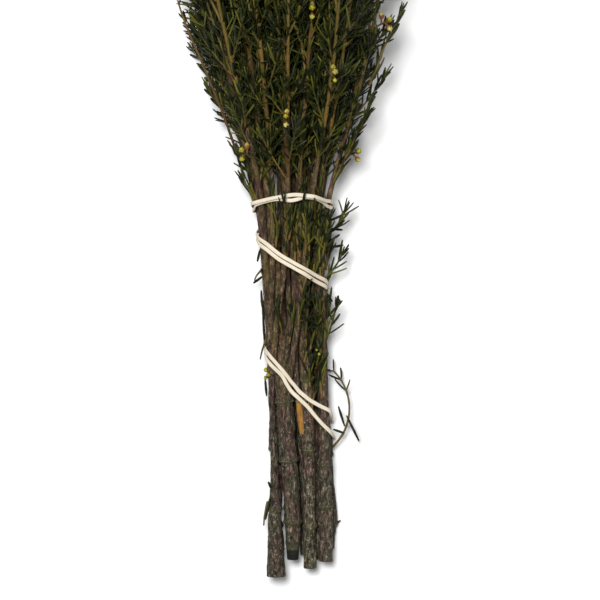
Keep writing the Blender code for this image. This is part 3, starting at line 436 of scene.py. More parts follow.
# Single leaves, by the same: from x, y, z to x, y, z
STRAYS = {
    0: ((19, -121, 8, 20.3, -108, 10), (26.5, -113.5, 9, 23, -103, 9), (27.3, -108, 10, 34.3, -121.5, 9),
        (26.4, -117, 8, 20.5, -115, 9)),
    1: ((-12.4, -76.8, 17, -14.6, -84.5, 15.5), (-13.5, -89.5, 14.5, -12.7, -98.5, 14),
        (-12.2, -77, 17, -13.9, -69.5, 17), (-12.8, -75, 16, -12.7, -65.5, 16.5)),
    2: ((-14.5, -38, 18, -19.6, -41.8, 17), (-14.6, -37.6, 18, -15.4, -34, 17),
        (-16, -24.6, 17, -17.4, -31, 16), (-14.8, -49, 17, -14, -61.5, 16),
        (-14.6, -56, 16, -13.6, -71, 15), (-15.4, -45, 16.5, -15, -54, 16)),
    3: ((16.4, -60, 14, 25.6, -50, 15), (17, -46, 15, 20.3, -51, 14), (4.5, -60.5, 25, 14, -56, 22),
        (13, -62, 21, 3.5, -57.5, 24), (7, -64, 24, 13.8, -63, 21)),
    4: ((18, -1.5, 14, 24.4, -0.6, 15), (18.3, -2, 14, 25.6, -6.2, 13),
        (18.6, -10.4, 13, 27.2, -6.6, 14), (18.8, -14.2, 13, 25.6, -14.8, 13),
        (18.6, -20.8, 13, 24.2, -17, 14), (18.4, -23.8, 13, 26, -22.4, 13)),
    7: ((3.2, -139, 6.5, 2.3, -121, 6.5), (2.3, -122, 6.5, 1.3, -106, 6.5),
        (1.4, -108, 6.5, 0.6, -91, 6.5)),
    8: ((13.1, -108, 7, 12.1, -92, 7), (12.1, -93, 7, 11.3, -77, 7), (11.4, -79, 7, 10.6, -63, 7)),
    9: ((4.8, -8, 31.2, 6.4, 5.5, 34.6), (10.6, -64, 7, 9.7, -49, 7), (9.7, -50, 7, 9.2, -35, 7),
        (9.2, -37, 7, 9, -22, 7), (-7.9, -11, 9, -9.6, 6, 12), (15.6, -10, 9, 16.6, 8, 11.5)),
    10: ((-10.5, -147, 15.5, -13.4, -160.5, 15.5), (-10.4, -144.5, 15.5, -12, -140.8, 15.5)),
}

# Shoots along the bundle's sides, by the same: from x, y, z to x, y, z
EDGE_SHOOTS = {
    3: ((16.4, -72, 15, 17.8, -44, 15), (16.8, -62, 11, 18.2, -38, 12)),
    4: ((17.2, -35, 13, 19.3, -6, 14.5), (17.6, -33, 10, 19.6, -3, 11), (16, -34, 18, 17.6, -5, 20),
        (20, 8, 20, 38.5, 46, 30), (24, 16, 26, 37, 42, 36), (38, 56, 36, 53.5, 92, 44)),
    9: ((-18.6, -4, 16, -28.5, 24, 21), (-17, -2, 19, -25, 22, 26)),
}
# Buds low on the bundle, by the same: x, y, z, direction and size
LOW_BUDS = {
    1: ((-11.8, -85.4, 14, -0.75, 0.25, 0.6, 0.72), (-11.2, -87.4, 15.5, -0.45, -0.1, 0.9, 0.66),
        (-12.2, -88.4, 13, -0.75, -0.4, 0.5, 0.6)),
    8: ((13.2, -77.5, 17.5, 0.35, 0.35, 0.85, 0.5), (12.4, -75.5, 18, -0.1, 0.5, 0.85, 0.42)),
}
# A nearly bare twig that stands out at the left of the leafy part
BARE_TWIG = (
    (-27, 22, 24), (-34, 42, 32), (-40.5, 58, 38), (-44.5, 67.5, 40), (-51, 82.5, 43), (-57.5, 100, 45),
    (-62, 122, 46), (-65, 142, 46),
)
STRAP_LINE = []  # the band's middle line, which needles are kept clear of
STRAP_CLEAR, STRAP_CLEAR_BELOW = 1.75, 10.0

# Table, lights and camera, in metres. A light is its name, place, size and power
TABLE_HALF = 3.0
TABLE_GLOW = 0.05  # keeps the table pale where the bundle shades it
LIGHTS = (("key_light", (-0.27, 0.34, 1.78), 0.65, 47), ("fill_light", (0.7, -0.5, 1.5), 1.0, 4))
WORLD_STRENGTH = 0.06
VIEW_WIDTH, CAMERA_HEIGHT = 0.300, 1.6
VIEW_CENTRE = (0.004, -0.050, 0.018)


class Skin:
    """The faces of one piece, gathered as arrays before its mesh is made."""

    def __init__(self):
        self.points, self.growth, self.quads, self.tris = [], [], [], []
        self.quad_slots, self.tri_slots = [], []
        self.count = 0

    def add(self, points, growth, quads=None, tris=None, slot=0):
        """growth is three values for each point: chance, age along the shoot, and a third one by kind."""
        self.points.append(points.reshape(-1, 3))
        total = len(self.points[-1])
        self.growth.append(np.broadcast_to(np.asarray(growth, float).reshape(-1, 3), (total, 3)))
        for found, store, slots in ((quads, self.quads, self.quad_slots), (tris, self.tris, self.tri_slots)):
            if found is not None and len(found):
                store.append(found + self.count)
                slots.append(np.full(len(found), slot))
        self.count += total

    def tube(self, rows, growth, slot=0, tip=None, foot=None):
        """rows is rings x sides x 3. tip and foot are end points that close it."""
        rings, sides = rows.shape[:2]
        points = rows.reshape(-1, 3)
        grown = np.broadcast_to(np.asarray(growth, float), (rings, 3)).repeat(sides, 0)
        tris = []
        if tip is not None:
            points, grown = np.vstack([points, tip]), np.vstack([grown, grown[-1]])
            tris.append(fan((rings - 1) * sides, sides, len(points) - 1))
        if foot is not None:
            points, grown = np.vstack([points, foot]), np.vstack([grown, grown[0]])
            tris.append(fan(0, sides, len(points) - 1)[:, (1, 0, 2)])
        self.add(points, grown, wall(rings, sides), np.vstack(tris) if tris else None, slot)

    def make(self, name, finishes, slot, *nodes):
        """The object with its finishes, given by name, riding on the root body in place of the CAD nodes."""
        points = np.vstack(self.points) * MM
        quads = np.vstack(self.quads) if self.quads else np.zeros((0, 4), int)
        tris = np.vstack(self.tris) if self.tris else np.zeros((0, 3), int)
        mesh = bpy.data.meshes.new(name)
        mesh.vertices.add(len(points))
        mesh.vertices.foreach_set("co", points.ravel())
        mesh.loops.add(quads.size + tris.size)
        mesh.loops.foreach_set("vertex_index", np.concatenate([quads.ravel(), tris.ravel()]))
        mesh.polygons.add(len(quads) + len(tris))
        starts = np.concatenate([np.arange(len(quads)) * 4, quads.size + np.arange(len(tris)) * 3])
        mesh.polygons.foreach_set("loop_start", starts)
        slots = np.concatenate(self.quad_slots + self.tri_slots).astype(int)
        mesh.polygons.foreach_set("material_index", slots)
        mesh.update(calc_edges=True)
        mesh.validate()
        growth = mesh.attributes.new("growth", "FLOAT_VECTOR", "POINT")
        growth.data.foreach_set("vector", np.vstack(self.growth).astype(np.float32).ravel())
        mesh.shade_smooth()
        for finish in finishes:
            mesh.materials.append(FINISH[finish])
        piece = bpy.data.objects.new(name, mesh)
        bpy.context.scene.collection.objects.link(piece)
        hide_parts(*nodes)
        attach(piece, "root")
        return piece


def excess(points):
    """How far each point is beyond the outline of the leafy part, in x."""
    ys, low, high = (np.array(row, float) for row in zip(*FENCE))
    x, y = points[:, 0], points[:, 1]
    return x - np.clip(x, np.interp(y, ys, low), np.interp(y, ys, high))


def held_in(points):
    """The points, with those beyond the outline drawn back towards it."""
    held = points.copy()
    held[:, 0] -= (1 - FENCE_KEEPS) * excess(points)
    return held


def wall(rings, sides):
    """The quads between neighbouring rings."""
    i, j = np.meshgrid(np.arange(rings - 1), np.arange(sides), indexing="ij")
    a, b = i * sides + j, i * sides + (j + 1) % sides
    return np.stack([a, b, b + sides, a + sides], -1).reshape(-1, 4)


def fan(first, sides, centre):
    """The triangles from the ring that starts at point first to its centre point."""
    turn = np.arange(sides)
    return np.stack([first + turn, first + (turn + 1) % sides, np.full(sides, centre)], 1)


def turned(angle, side, up):
    """The direction side, turned by angle towards up."""
    return math.cos(angle) * side + math.sin(angle) * up


def unit(v):
    return v / (np.linalg.norm(v, axis=-1, keepdims=True) + 1e-12)


def moving_frames(points, side=None):
    """Tangent, side and up at each point, with as little turning as possible."""
    tangents = unit(np.gradient(points, axis=0))
    if side is None:
        side = np.array([1.0, 0.0, 0.0]) if abs(tangents[0, 0]) < 0.8 else np.array([0.0, 0.0, 1.0])
    sides = np.empty_like(points)
    for i, t in enumerate(tangents):
        side = side - t * (side @ t)
        side = side / (np.linalg.norm(side) + 1e-12)
        sides[i] = side
    return tangents, sides, np.cross(tangents, sides)


def rings_round(points, radii, sides, frames=None, turn=0.0):
    """Rings of the given radii, one number or one for each side, round the points."""
    _, side, up = frames or moving_frames(points)
    angles = turn + math.tau * np.arange(sides) / sides
    radii = np.broadcast_to(np.asarray(radii, float).reshape(len(points), -1), (len(points), sides))
    spokes = np.cos(angles)[None, :, None] * side[:, None] + np.sin(angles)[None, :, None] * up[:, None]
    return points[:, None] + radii[..., None] * spokes


def sampled(axis, start, end, step):
    ys = np.linspace(start, end, max(3, round((end - start) / step) + 1))
    return ys, np.array([point_on(axis, float(y)) for y in ys])


def arc(points):
    return np.concatenate([[0.0], np.cumsum(np.linalg.norm(np.diff(points, axis=0), axis=1))])


# Bark

def relief(points, axis_number, strength):
    """Height of the bark at each point: long ridges, finer grain and slow lumps."""
    shift = Vector((axis_number * 31.7, axis_number * 17.3, 0))
    heights = np.empty(len(points))
    for i, p in enumerate(points):
        at = Vector(p)
        heights[i] = sum(
            height * noise.noise(Vector((at.x * across, at.y * along, at.z * across)) + shift * share)
            for across, along, height, share in RELIEF
        )
    return heights * strength


def collar(axis, ys):
    """Extra share of the radius at each y: a raised ring at each joint, with a groove under it."""
    extra = np.zeros_like(ys)
    for joint in axis["joints"]:
        extra += sum(rise * np.exp(-(((ys - joint - up) / reach) ** 2)) for rise, up, reach in COLLAR)
    return extra


def leaf_scars(axis, ys, angles):
    """Raised scars on two opposite sides of each joint, crossed from one joint to the next."""
    bumps = np.zeros((len(ys), len(angles)))
    for i, joint in enumerate(axis["joints"]):
        for side in (0.0, math.pi):
            away = np.angle(np.exp(1j * (angles - side - i * math.pi / 2 - 0.6)))
            bumps += np.exp(-((away / 0.42) ** 2))[None] * np.exp(-(((ys - joint - 0.6) / 1.5) ** 2))[:, None]
    return bumps * SCAR_HEIGHT


def stub(skin, base, outward, along, length, radius, chance):
    """A short broken twig on a joint."""
    share = np.linspace(0, 1, 5)[:, None]
    points = base + unit(outward * 0.8 + along * 0.6) * (length * share)
    radii = radius * np.array([1.5, 1.0, 0.85, 0.8, 0.7])
    rows = rings_round(points, radii, 8)
    skin.tube(rows, (chance, 0.2, 0.0), 0, tip=points[-1] + 0.15 * unit(points[-1] - points[0]))


def bark_kinds(axis, ys):
    """1 at bark joints, -1 at a dark end, -0.5 on the moss above it, 2 along one branch's peeled part."""
    kinds = np.zeros_like(ys)
    for joint in axis["joints"]:
        kinds = np.maximum(kinds, np.exp(-(((ys - joint + 0.3) / 1.7) ** 2)))
    if (axis["number"], axis["branch"]) == DARK_END:
        up = ys - axis["start"]
        kinds = np.where(up < 9.0, np.interp(up, (0, 4.4, 5.2, 6.6, 8.6), (-1, -1, -0.5, -0.45, 0)), kinds)
    if (axis["number"], axis["branch"]) == PEELED:
        kinds = np.interp(ys, (PEELED_FROM - 1.2, PEELED_FROM, PEELED_TO, PEELED_TO + 4.0), (0, 2, 2, 0))
    return kinds


def bark_tube(skin, axis, index, chance, rng):
    """One wooden stem, from its cut or its fork to where its leafy twig takes over."""
    main = axis["main"]
    start = axis["start"] - (0 if main else 5.0)
    ys, points = sampled(axis, start, axis["green"] + 1.5, BARK_STEP)
    sides = BARK_SIDES if main else BRANCH_SIDES
    base = stem_radius(axis, ys)
    if not main:
        base = base * (1 + FORK_FLARE * np.exp(-((ys - start) / FORK_REACH) ** 2))
    frames = moving_frames(points)
    angles = math.tau * np.arange(sides) / sides
    radii = np.repeat((base * (1 + collar(axis, ys)))[:, None], sides, 1)
    radii += leaf_scars(axis, ys, angles)
    bare = rings_round(points, radii, sides, frames)
    strength = 1.0 if main else 0.55
    smoother = np.interp(ys, (-125, -40), (1.0, 0.5))[:, None]
    radii += relief(bare.reshape(-1, 3), index, strength).reshape(len(ys), sides) * smoother
    rows = rings_round(points, radii, sides, frames)
    rows[:, :, 2] = np.maximum(rows[:, :, 2], 0.0)
    share = np.clip((ys - CUT_Y) / (60 - CUT_Y), 0, 1)
    growth = np.stack([np.full_like(ys, chance), share, bark_kinds(axis, ys)], 1)
    skin.tube(rows, growth, 0, tip=points[-1])
    if main:
        cut_face(skin, rows[0], points[0], chance)
        for joint in axis["joints"]:
            if rng.random() < 0.4 and joint < -60:
                k = int(np.argmin(abs(ys - joint)))
                angle = rng.uniform(0, math.tau)
                outward = turned(angle, frames[1][k], frames[2][k])
                length = rng.uniform(1.6, 3.6)
                stub(skin, points[k] + outward * base[k] * 0.8, outward, frames[0][k], length, 0.6, chance)


def cut_face(skin, rim, centre, chance):
    """The cut end: a bevelled bark edge, then the wood with its growth rings and pith."""
    shares = np.array([1.0, 0.93, 0.86, 0.62, 0.36, 0.14])
    sunk = np.array([0.0, -0.35, -0.3, -0.22, -0.3, -0.1])
    rows = centre + (rim - centre)[None] * shares[:, None, None] + np.array([0, 1.0, 0]) * sunk[:, None, None]
    rows[:, :, 2] = np.maximum(rows[:, :, 2], 0.0)
    growth = np.stack([np.full(6, chance), shares, np.zeros(6)], 1)
    skin.tube(rows[::-1].copy(), growth[::-1], 1, foot=centre)


# Leaves and shoots

def clear_of_strap(roots, reaches):
    """Which needles, from their root along their reach, stay clear of the rubber band."""
    clear = np.ones(len(roots), bool)
    line = STRAP_LINE[0]
    for share in (0.0, 0.2, 0.4, 0.6, 0.8, 1.0):
        at = roots + reaches * share
        near = np.flatnonzero(clear & (at[:, 1] < STRAP_CLEAR_BELOW))
        if len(near):
            gaps = np.linalg.norm(at[near, None] - line[None], axis=2).min(1)
            clear[near[gaps < STRAP_CLEAR]] = False
    return clear


class Leaves:
    """Needles of one piece, gathered so that their points are worked out together."""

    def __init__(self):
        self.rows = []

    def add(self, root, along, across, length, half_width, bend, chance, age):
        self.rows.append((*root, *along, *across, length, half_width, bend, chance, age))

    def into(self, skin, slot, fenced=False):
        if not self.rows:
            return
        data = np.array(self.rows)
        if fenced:
            data[:, 0:3] = held_in(data[:, 0:3])
            tips = data[:, 0:3] + unit(data[:, 3:6]) * data[:, 9:10]
            data = data[abs(excess(tips)) < FENCE_REACH]
        data = data[clear_of_strap(data[:, 0:3], unit(data[:, 3:6]) * data[:, 9:10])]
        root, along, across = data[:, 0:3], unit(data[:, 3:6]), unit(data[:, 6:9])
        across = unit(across - along * (along * across).sum(1, keepdims=True))
        over = np.cross(along, across)
        length, half_width, bend, chance, age = data[:, 9:14].T
        rings = []
        for share, wide, thick in NEEDLE:
            centre = root + along * (length * share)[:, None] + over * (bend * length * share**2)[:, None]
            ring = [
                centre + across * (half_width * wide * u)[:, None] + over * (NEEDLE_HALF_THICK * thick * v)
                for u, v in NEEDLE_SECTION
            ]
            rings.append(np.stack(ring, 1))
        tip = (root + along * length[:, None] + over * (bend * length)[:, None])[:, None]
        points = np.concatenate([*rings, tip], 1)
        points[..., 2] = np.maximum(points[..., 2], 0.02)
        per, sides = points.shape[1], len(NEEDLE_SECTION)
        offsets = (np.arange(len(data)) * per)[:, None, None]
        cap = fan((len(NEEDLE) - 1) * sides, sides, per - 1)
        quads = (wall(len(NEEDLE), sides)[None] + offsets).reshape(-1, 4)
        tris = (cap[None] + offsets).reshape(-1, 3)
        shares = np.concatenate([np.repeat([s for s, _, _ in NEEDLE], sides), [1.0]])
        growth = np.stack([
            np.repeat(chance, per),
            np.repeat(age, per),
            np.tile(shares, len(data)),
        ], 1)
        skin.add(points, growth, quads, tris, slot)


def arched_points(root, heading, length, lift, step=1.6):
    """A shoot's points: it leaves along heading and turns towards +Y by lift as it grows."""
    count = max(4, round(length / step))
    points = [np.array(root, float)]
    heading = unit(np.array(heading, float))
    for _ in range(count):
        nxt = points[-1] + heading * (length / count)
        nxt[2] = max(nxt[2], 0.7)
        points.append(nxt)
        heading = unit(heading + np.array([0, lift / count, 0]))
    return np.array(points)


def dress(skin, leaves, points, radii, spacing, rng, age, size=1.0, shed=0.0, first=0.12, sides=TWIG_SIDES,
          leans=(30, 58), crown=True):
    """A twig with its tube and its crossed pairs of needles. age is (foot, tip), from 0 old to 1 young."""
    lengths = arc(points)
    total = lengths[-1]
    share = lengths / total
    thickness = radii[0] + (radii[1] - radii[0]) * share
    stations = []
    s = total * first
    while s < total - 0.6:
        stations.append(s)
        s += spacing * rng.uniform(0.85, 1.15)
    knots = np.zeros_like(lengths)
    for s in stations:
        knots += np.exp(-(((lengths - s) / 0.7) ** 2))
    first_side = np.array([math.cos(rng.uniform(0, 6.28)), 0.2, math.sin(rng.uniform(0, 6.28))])
    frames = moving_frames(points, first_side)
    rows = rings_round(points, thickness * (1 + 0.22 * np.minimum(knots, 1)), sides, frames)
    rows[..., 2] = np.maximum(rows[..., 2], 0.03)
    chance = rng.random()
    ages = age[0] + (age[1] - age[0]) * share
    growth = np.stack([np.full_like(share, chance), ages, np.zeros_like(share)], 1)
    skin.tube(rows, growth, 0, tip=points[-1] + frames[0][-1] * radii[1], foot=points[0])
    turn = rng.uniform(0, math.tau)
    for n, s in enumerate(stations):
        k = min(int(np.searchsorted(lengths, s)), len(points) - 1)
        at = points[k]
        t, side, up = frames[0][k], frames[1][k], frames[2][k]
        young = s / total
        for half in (0.0, math.pi):
            if rng.random() < shed * (1 - young):
                continue
            angle = turn + half + (n % 2) * math.pi / 2 + rng.uniform(-0.25, 0.25)
            outward = turned(angle, side, up)
            lean = math.radians(rng.uniform(*leans) * (1.0 - 0.35 * young * crown))
            along = turned(lean, t, outward)
            across = np.cross(t, outward) + t * rng.uniform(-0.12, 0.12)
            length = rng.uniform(*NEEDLE_LENGTH) * size * (1 - 0.35 * young**3)
            half_width = rng.uniform(*NEEDLE_HALF_WIDTH) * size**0.5
            bend = rng.uniform(-0.14, 0.24)
            leaves.add(at + outward * thickness[k] * 0.6, along, across, length, half_width, bend,
                       rng.random(), age[0] + (age[1] - age[0]) * young)
    if crown:
        t, side, up = frames[0][-1], frames[1][-1], frames[2][-1]
        for i in range(4):
            angle = turn + i * math.pi / 2
            outward = turned(angle, side, up)
            along = t + outward * rng.uniform(0.12, 0.4)
            length = rng.uniform(*CROWN_LENGTH) * size
            foot = points[-1] - t * 0.6
            leaves.add(foot, along, np.cross(t, outward), length, 0.45, 0.05, rng.random(), age[1])
    return frames, lengths


def at_arc(points, frames, lengths, s):
    """The first point at least s along the points, with its frame."""
    k = min(int(np.searchsorted(lengths, s)), len(points) - 1)
    return points[k], frames[0][k], frames[1][k], frames[2][k]


def make_spray(axis, k, rng, with_bare_twig):
    """The leafy upper part of one stem: its twig, long and short side shoots, and their needles."""
    skin, leaves = Skin(), Leaves()
    low = axis["green"] - 1.0
    _, points = sampled(axis, low, axis["top"] - 4.0, 2.0)
    radii = (stem_radius(axis, low) * 0.9, TIP_RADIUS * 0.8)
    dress(skin, leaves, points, radii, 5.0, rng, (0.0, 1.0), shed=0.6, first=0.02, sides=9)
    _, points = sampled(axis, LOWEST_SHOOT, axis["top"] - 4.0, 2.0)
    frames, lengths = moving_frames(points), arc(points)
    total = lengths[-1]
    s, n = rng.uniform(0.0, 6.0), rng.randrange(4)
    while s < total - 9.0:
        at, t, side, up = at_arc(points, frames, lengths, s)
        angle = n * math.pi / 2 + (n // 4) * 0.4 + rng.uniform(-0.3, 0.3)
        outward = turned(angle, side, up)
        young = s / total
        low_down = at[1] < axis["green"]
        long_one = n % 4 == 1 and young < 0.5
        lean = math.radians(rng.uniform(*(STEEP_LEAN if long_one or low_down else WIDE_LEAN)))
        length = rng.uniform(*(LONG_SHOOT if long_one else SHORT_SHOOT))
        length = min(length, (total - s) * 0.85)
        start = at + outward * stem_radius(axis, float(at[1])) * 0.5
        shoot = arched_points(start, turned(lean, t, outward), length, SHOOT_LIFT)
        shoot_radii = (0.72, 0.38) if long_one else (0.52, 0.3)
        low_age = 0.25 + 0.5 * young
        shed = 0.4 if long_one else 0.08
        grown = dress(skin, leaves, shoot, shoot_radii, PAIRS_APART, rng, (low_age, 1.0), shed=shed, sides=6)
        if long_one:
            for share in (0.35, 0.55, 0.75):
                at, t, side, up = at_arc(shoot, *grown, grown[1][-1] * share)
                outward = turned(rng.uniform(0, math.tau), side, up)
                small = arched_points(at, t + outward * 0.7, rng.uniform(*SMALL_SHOOT), SHOOT_LIFT)
                dress(skin, leaves, small, (0.42, 0.28), 3.0, rng, (0.5, 1.0), size=0.9, sides=5)
        s += rng.uniform(*SHOOTS_APART)
        n += 1
    if with_bare_twig:
        ends = np.array(BARE_TWIG)
        ys = np.linspace(ends[0, 1], ends[-1, 1], 60)
        points = np.stack([np.interp(ys, ends[:, 1], ends[:, i]) for i in range(3)], 1)
        dress(skin, leaves, points, (0.72, 0.42), 8.5, rng, (-0.12, 0.06), shed=0.9, first=0.25, sides=8)
    skin.points = [held_in(points) for points in skin.points]
    leaves.into(skin, 1, fenced=True)
    return skin.make(f"needle_spray_{k + 1}", ("twig", "needle"), "leaf", f"leafy_spray_{k + 1}")


def height_over(axes, x, y):
    """The height of the bundle's upper surface at x, y."""
    heights = [0.0]
    for axis in axes:
        if axis["start"] < y < axis["top"]:
            centre, radius = point_on(axis, y), stem_radius(axis, y)
            if abs(x - centre.x) < radius:
                heights.append(centre.z + math.sqrt(radius**2 - (x - centre.x) ** 2))
    return max(heights)


def pressed_shoot(skin, leaves, axes, x, y, length, drift, rng):
    """A leafy shoot that lies on the bundle's upper surface, or under a wrap of the band."""
    steps = max(6, round(length / 1.5))
    rows = []
    for i in range(steps + 1):
        share = i / steps
        at_x, at_y = x + drift * share + 0.6 * math.sin(share * 5 + x), y + length * share
        reach = [height_over(axes, at_x + d, at_y) for d in (-0.8, 0, 0.8)]
        rows.append((at_x, at_y, max(reach) + 0.45))
    heights = np.array([r[2] for r in rows])
    heights = np.maximum(heights, np.convolve(np.pad(heights, 2, mode="edge"), np.ones(5) / 5, "valid"))
    points = np.array([(r[0], r[1], z) for r, z in zip(rows, heights)])
    dress(skin, leaves, points, (0.6, 0.35), PAIRS_APART, rng, (0.2, 0.8), size=PRESSED_SIZE, shed=0.25,
          first=0.1, sides=6, leans=PRESSED_LEANS)


def make_sprig(axes, number, place, rng):
    """One of the small shoots low on the bundle, with the shoots and stray leaves near it."""
    x, y, azimuth, lean, curl, length = place
    root, outward = surface_root(axes, x, y, azimuth)
    points = np.array(curled(Vector(root), outward, lean, curl, length, max(5, round(length / 1.5))))
    points = np.vstack([points[0] - unit(points[1] - points[0]) * 2.2, points])
    skin, leaves = Skin(), Leaves()
    thick = (0.66, 0.4) if number == ARCHING else (0.62, 0.36)
    bare = number in FEW_LEAVED
    shed = 1.3 if number == ARCHING else 60.0 if bare else 0.3
    dress(skin, leaves, points, thick, 6.0 if bare else 3.6, rng, (0.55, 0.9), size=0.85, shed=shed,
          first=0.2, crown=not bare)
    for x, y, length, drift in PRESSED.get(number, ()):
        pressed_shoot(skin, leaves, axes, x, y, length, drift, rng)
    for x, y, z, to_x, to_y, to_z in EDGE_SHOOTS.get(number, ()):
        along = np.array([to_x - x, to_y - y, to_z - z])
        share = np.linspace(0, 1, 22)[:, None]
        points = np.array([x, y, z]) + along * share + np.sin(share * 9 + x) * np.array([0.5, 0.0, 0.4])
        dress(skin, leaves, points, (0.65, 0.4), 3.2, rng, (0.3, 0.8), size=PRESSED_SIZE, shed=0.3,
              first=0.04, sides=6, leans=PRESSED_LEANS)
    for x, y, z, hx, hy, hz, size in LOW_BUDS.get(number, ()):
        bud(skin, np.array([x, y, z]), unit(np.array([hx, hy, hz])), size, rng, (2, 3))
    for x, y, z, to_x, to_y, to_z in STRAYS.get(number, ()):
        root, along = np.array([x, y, z]), np.array([to_x - x, to_y - y, to_z - z])
        length = float(np.linalg.norm(along))
        across = np.cross(along, (0.2, 0.1, 1.0))
        leaves.add(root, along, across, length, 0.68, rng.uniform(-0.08, 0.1), rng.random() * 0.5, 0.5)
    leaves.into(skin, 1)
    finishes = ("twig", "needle", "petal", "cup") if number in LOW_BUDS else ("twig", "needle")
    return skin.make(f"needle_sprig_{number + 1}", finishes, "leaf", f"side_sprig_{number + 1}")


# Buds

# A bud's outline: share of its length, share of its radius
BUD_RINGS = (
    (0.0, 0.3), (0.1, 0.6), (0.25, 0.84), (0.42, 0.97), (0.56, 1.0), (0.7, 0.84), (0.84, 0.52), (0.95, 0.2),
)


def bud(skin, foot, heading, size, rng, slots=(1, 2)):
    """A closed flower: five overlapping petals on a ribbed cup with five small lobes."""
    side = unit(np.cross(heading, np.array([0.3, 0.2, 0.9])))
    up = np.cross(heading, side)
    sides = 20
    angles = math.tau * np.arange(sides) / sides
    spokes = np.cos(angles)[:, None] * side + np.sin(angles)[:, None] * up
    length, radius = BUD_LENGTH * size, BUD_RADIUS * size * 0.88
    turn = rng.uniform(0, 1)
    cup, petals = [], []
    for share, wide in BUD_RINGS:
        lobes = 1 + 0.2 * np.cos(5 * angles + turn) * min(1, share * 1.6)
        petals.append(foot + heading * (length * share) + spokes * (radius * wide * 0.94 * lobes)[:, None])
        if share < 0.6:
            reach = share + 0.13 * np.cos(5 * angles + turn + 1.5) * (share > 0.3)
            ribs = 1 + 0.04 * np.cos(10 * angles)
            rim = spokes * (radius * (wide + 0.06) * ribs)[:, None]
            cup.append(foot + heading * (length * reach[:, None]) + rim)
    chance = rng.random()
    skin.tube(np.array(petals), (chance, 0.5, 0.0), slots[0], tip=foot + heading * length * 1.02)
    skin.tube(np.array(cup), (chance, 0.5, 0.0), slots[1], foot=foot - heading * 0.05)


def bare_stalk(skin, points, radii, rng):
    """A short twig without needles."""
    dress(skin, Leaves(), points, radii, 99.0, rng, (0.4, 0.6), first=0.9, crown=False)


def make_buds(axes, number, place, rng):
    """A stalk with one flower bud at its end and one on either side of it."""
    x, y, azimuth, lean = place
    root, outward = surface_root(axes, x, y, azimuth)
    lean = math.radians(lean)
    way = np.array([round(c, 2) for c in Vector((0, math.cos(lean), 0)) + outward * math.sin(lean)])
    root, heading = np.array(root), unit(way)
    across = unit(np.cross(heading, unit(way * (1, 0, 1))))
    skin = Skin()
    points = root + heading * np.linspace(-2.0, BUD_STALK, 7)[:, None]
    bare_stalk(skin, points, (0.5, 0.45), rng)
    bud(skin, root + heading * (BUD_STALK - 0.2), heading, rng.uniform(0.8, 1.0), rng)
    over = np.cross(heading, across)
    for share, face in ((0.45, 1), (0.75, 3)):
        angle = math.tau * face / 4
        facing = turned(angle, across, over)
        aim = unit(facing * 1.25 + heading * 0.6)
        start = root + heading * (share * BUD_STALK)
        stalk = start + aim * np.linspace(0, SIDE_STALK, 4)[:, None]
        bare_stalk(skin, stalk, (0.45, 0.5), rng)
        bud(skin, stalk[-1], aim, rng.uniform(0.7, 0.92), rng)
    return skin.make(f"flower_buds_{number + 1}", ("twig", "petal", "cup"), "bud", f"bud_sprig_{number + 1}")


# The rubber band

STRAP_SECTION = 16


def make_rubber_band(axes):
    """The doubled strap, with rounded edges, on a smooth closed curve through the CAD loop's points."""
    loop = band_loop(axes)
    centres = np.array([p for p, _ in loop])
    normals = np.array([n for _, n in loop])
    fine, count = 5, len(loop)
    t = np.arange(count * fine) / fine
    i, f = t.astype(int), (t % 1)[:, None]

    def through(values):
        a, b, c, d = (values[(i + k) % count] for k in (-1, 0, 1, 2))
        squared, cubed = 2 * a - 5 * b + 4 * c - d, 3 * b - a - 3 * c + d
        return 0.5 * (2 * b + (c - a) * f + squared * f**2 + cubed * f**3)

    points, up = through(centres), unit(through(normals))
    STRAP_LINE.append(points)
    along = unit(np.roll(points, -1, 0) - np.roll(points, 1, 0))
    up = unit(up - along * (up * along).sum(1, keepdims=True))
    across = np.cross(along, up)
    angles = math.tau * np.arange(STRAP_SECTION) / STRAP_SECTION
    flat = np.sign(np.cos(angles)) * np.abs(np.cos(angles)) ** 0.55
    tall = np.sign(np.sin(angles)) * np.abs(np.sin(angles)) ** 0.75
    place = arc(points)
    swell = 0.97 + 0.03 * np.sin(place / 5.3) + 0.02 * np.sin(place / 2.1 + 1)
    half_w, half_t = STRAP_WIDTH / 2 * swell, STRAP_THICK / 2 * (2 - swell)
    ridge = 1 + 0.06 * np.cos(6 * angles)
    rows = (
        points[:, None]
        + across[:, None] * (half_w[:, None] * flat[None])[..., None]
        + up[:, None] * (half_t[:, None] * (tall * ridge)[None])[..., None]
    )
    rows[..., 2] = np.maximum(rows[..., 2], 0.0)
    rings, sides = rows.shape[:2]
    closed = np.concatenate([wall(rings, sides), closing_quads(rings, sides)])
    skin = Skin()
    growth = np.stack([np.repeat(place / 10, sides), np.tile(flat, rings), np.tile(tall, rings)], 1)
    skin.add(rows, growth, closed, slot=0)
    return skin.make("rubber_strap", ("rubber",), "rubber", "rubber_band")


def closing_quads(rings, sides):
    """The quads from the last ring back to the first."""
    j = np.arange(sides)
    k = (j + 1) % sides
    last = (rings - 1) * sides
    return np.stack([last + j, last + k, k, j], 1)


# Finishes

def rgb(*values):
    """A colour as a photograph gives it, 0 to 255, made linear."""
    linear = [((c / 255 + 0.055) / 1.055) ** 2.4 if c > 10 else c / 255 / 12.92 for c in values]
    return (*linear, 1.0)


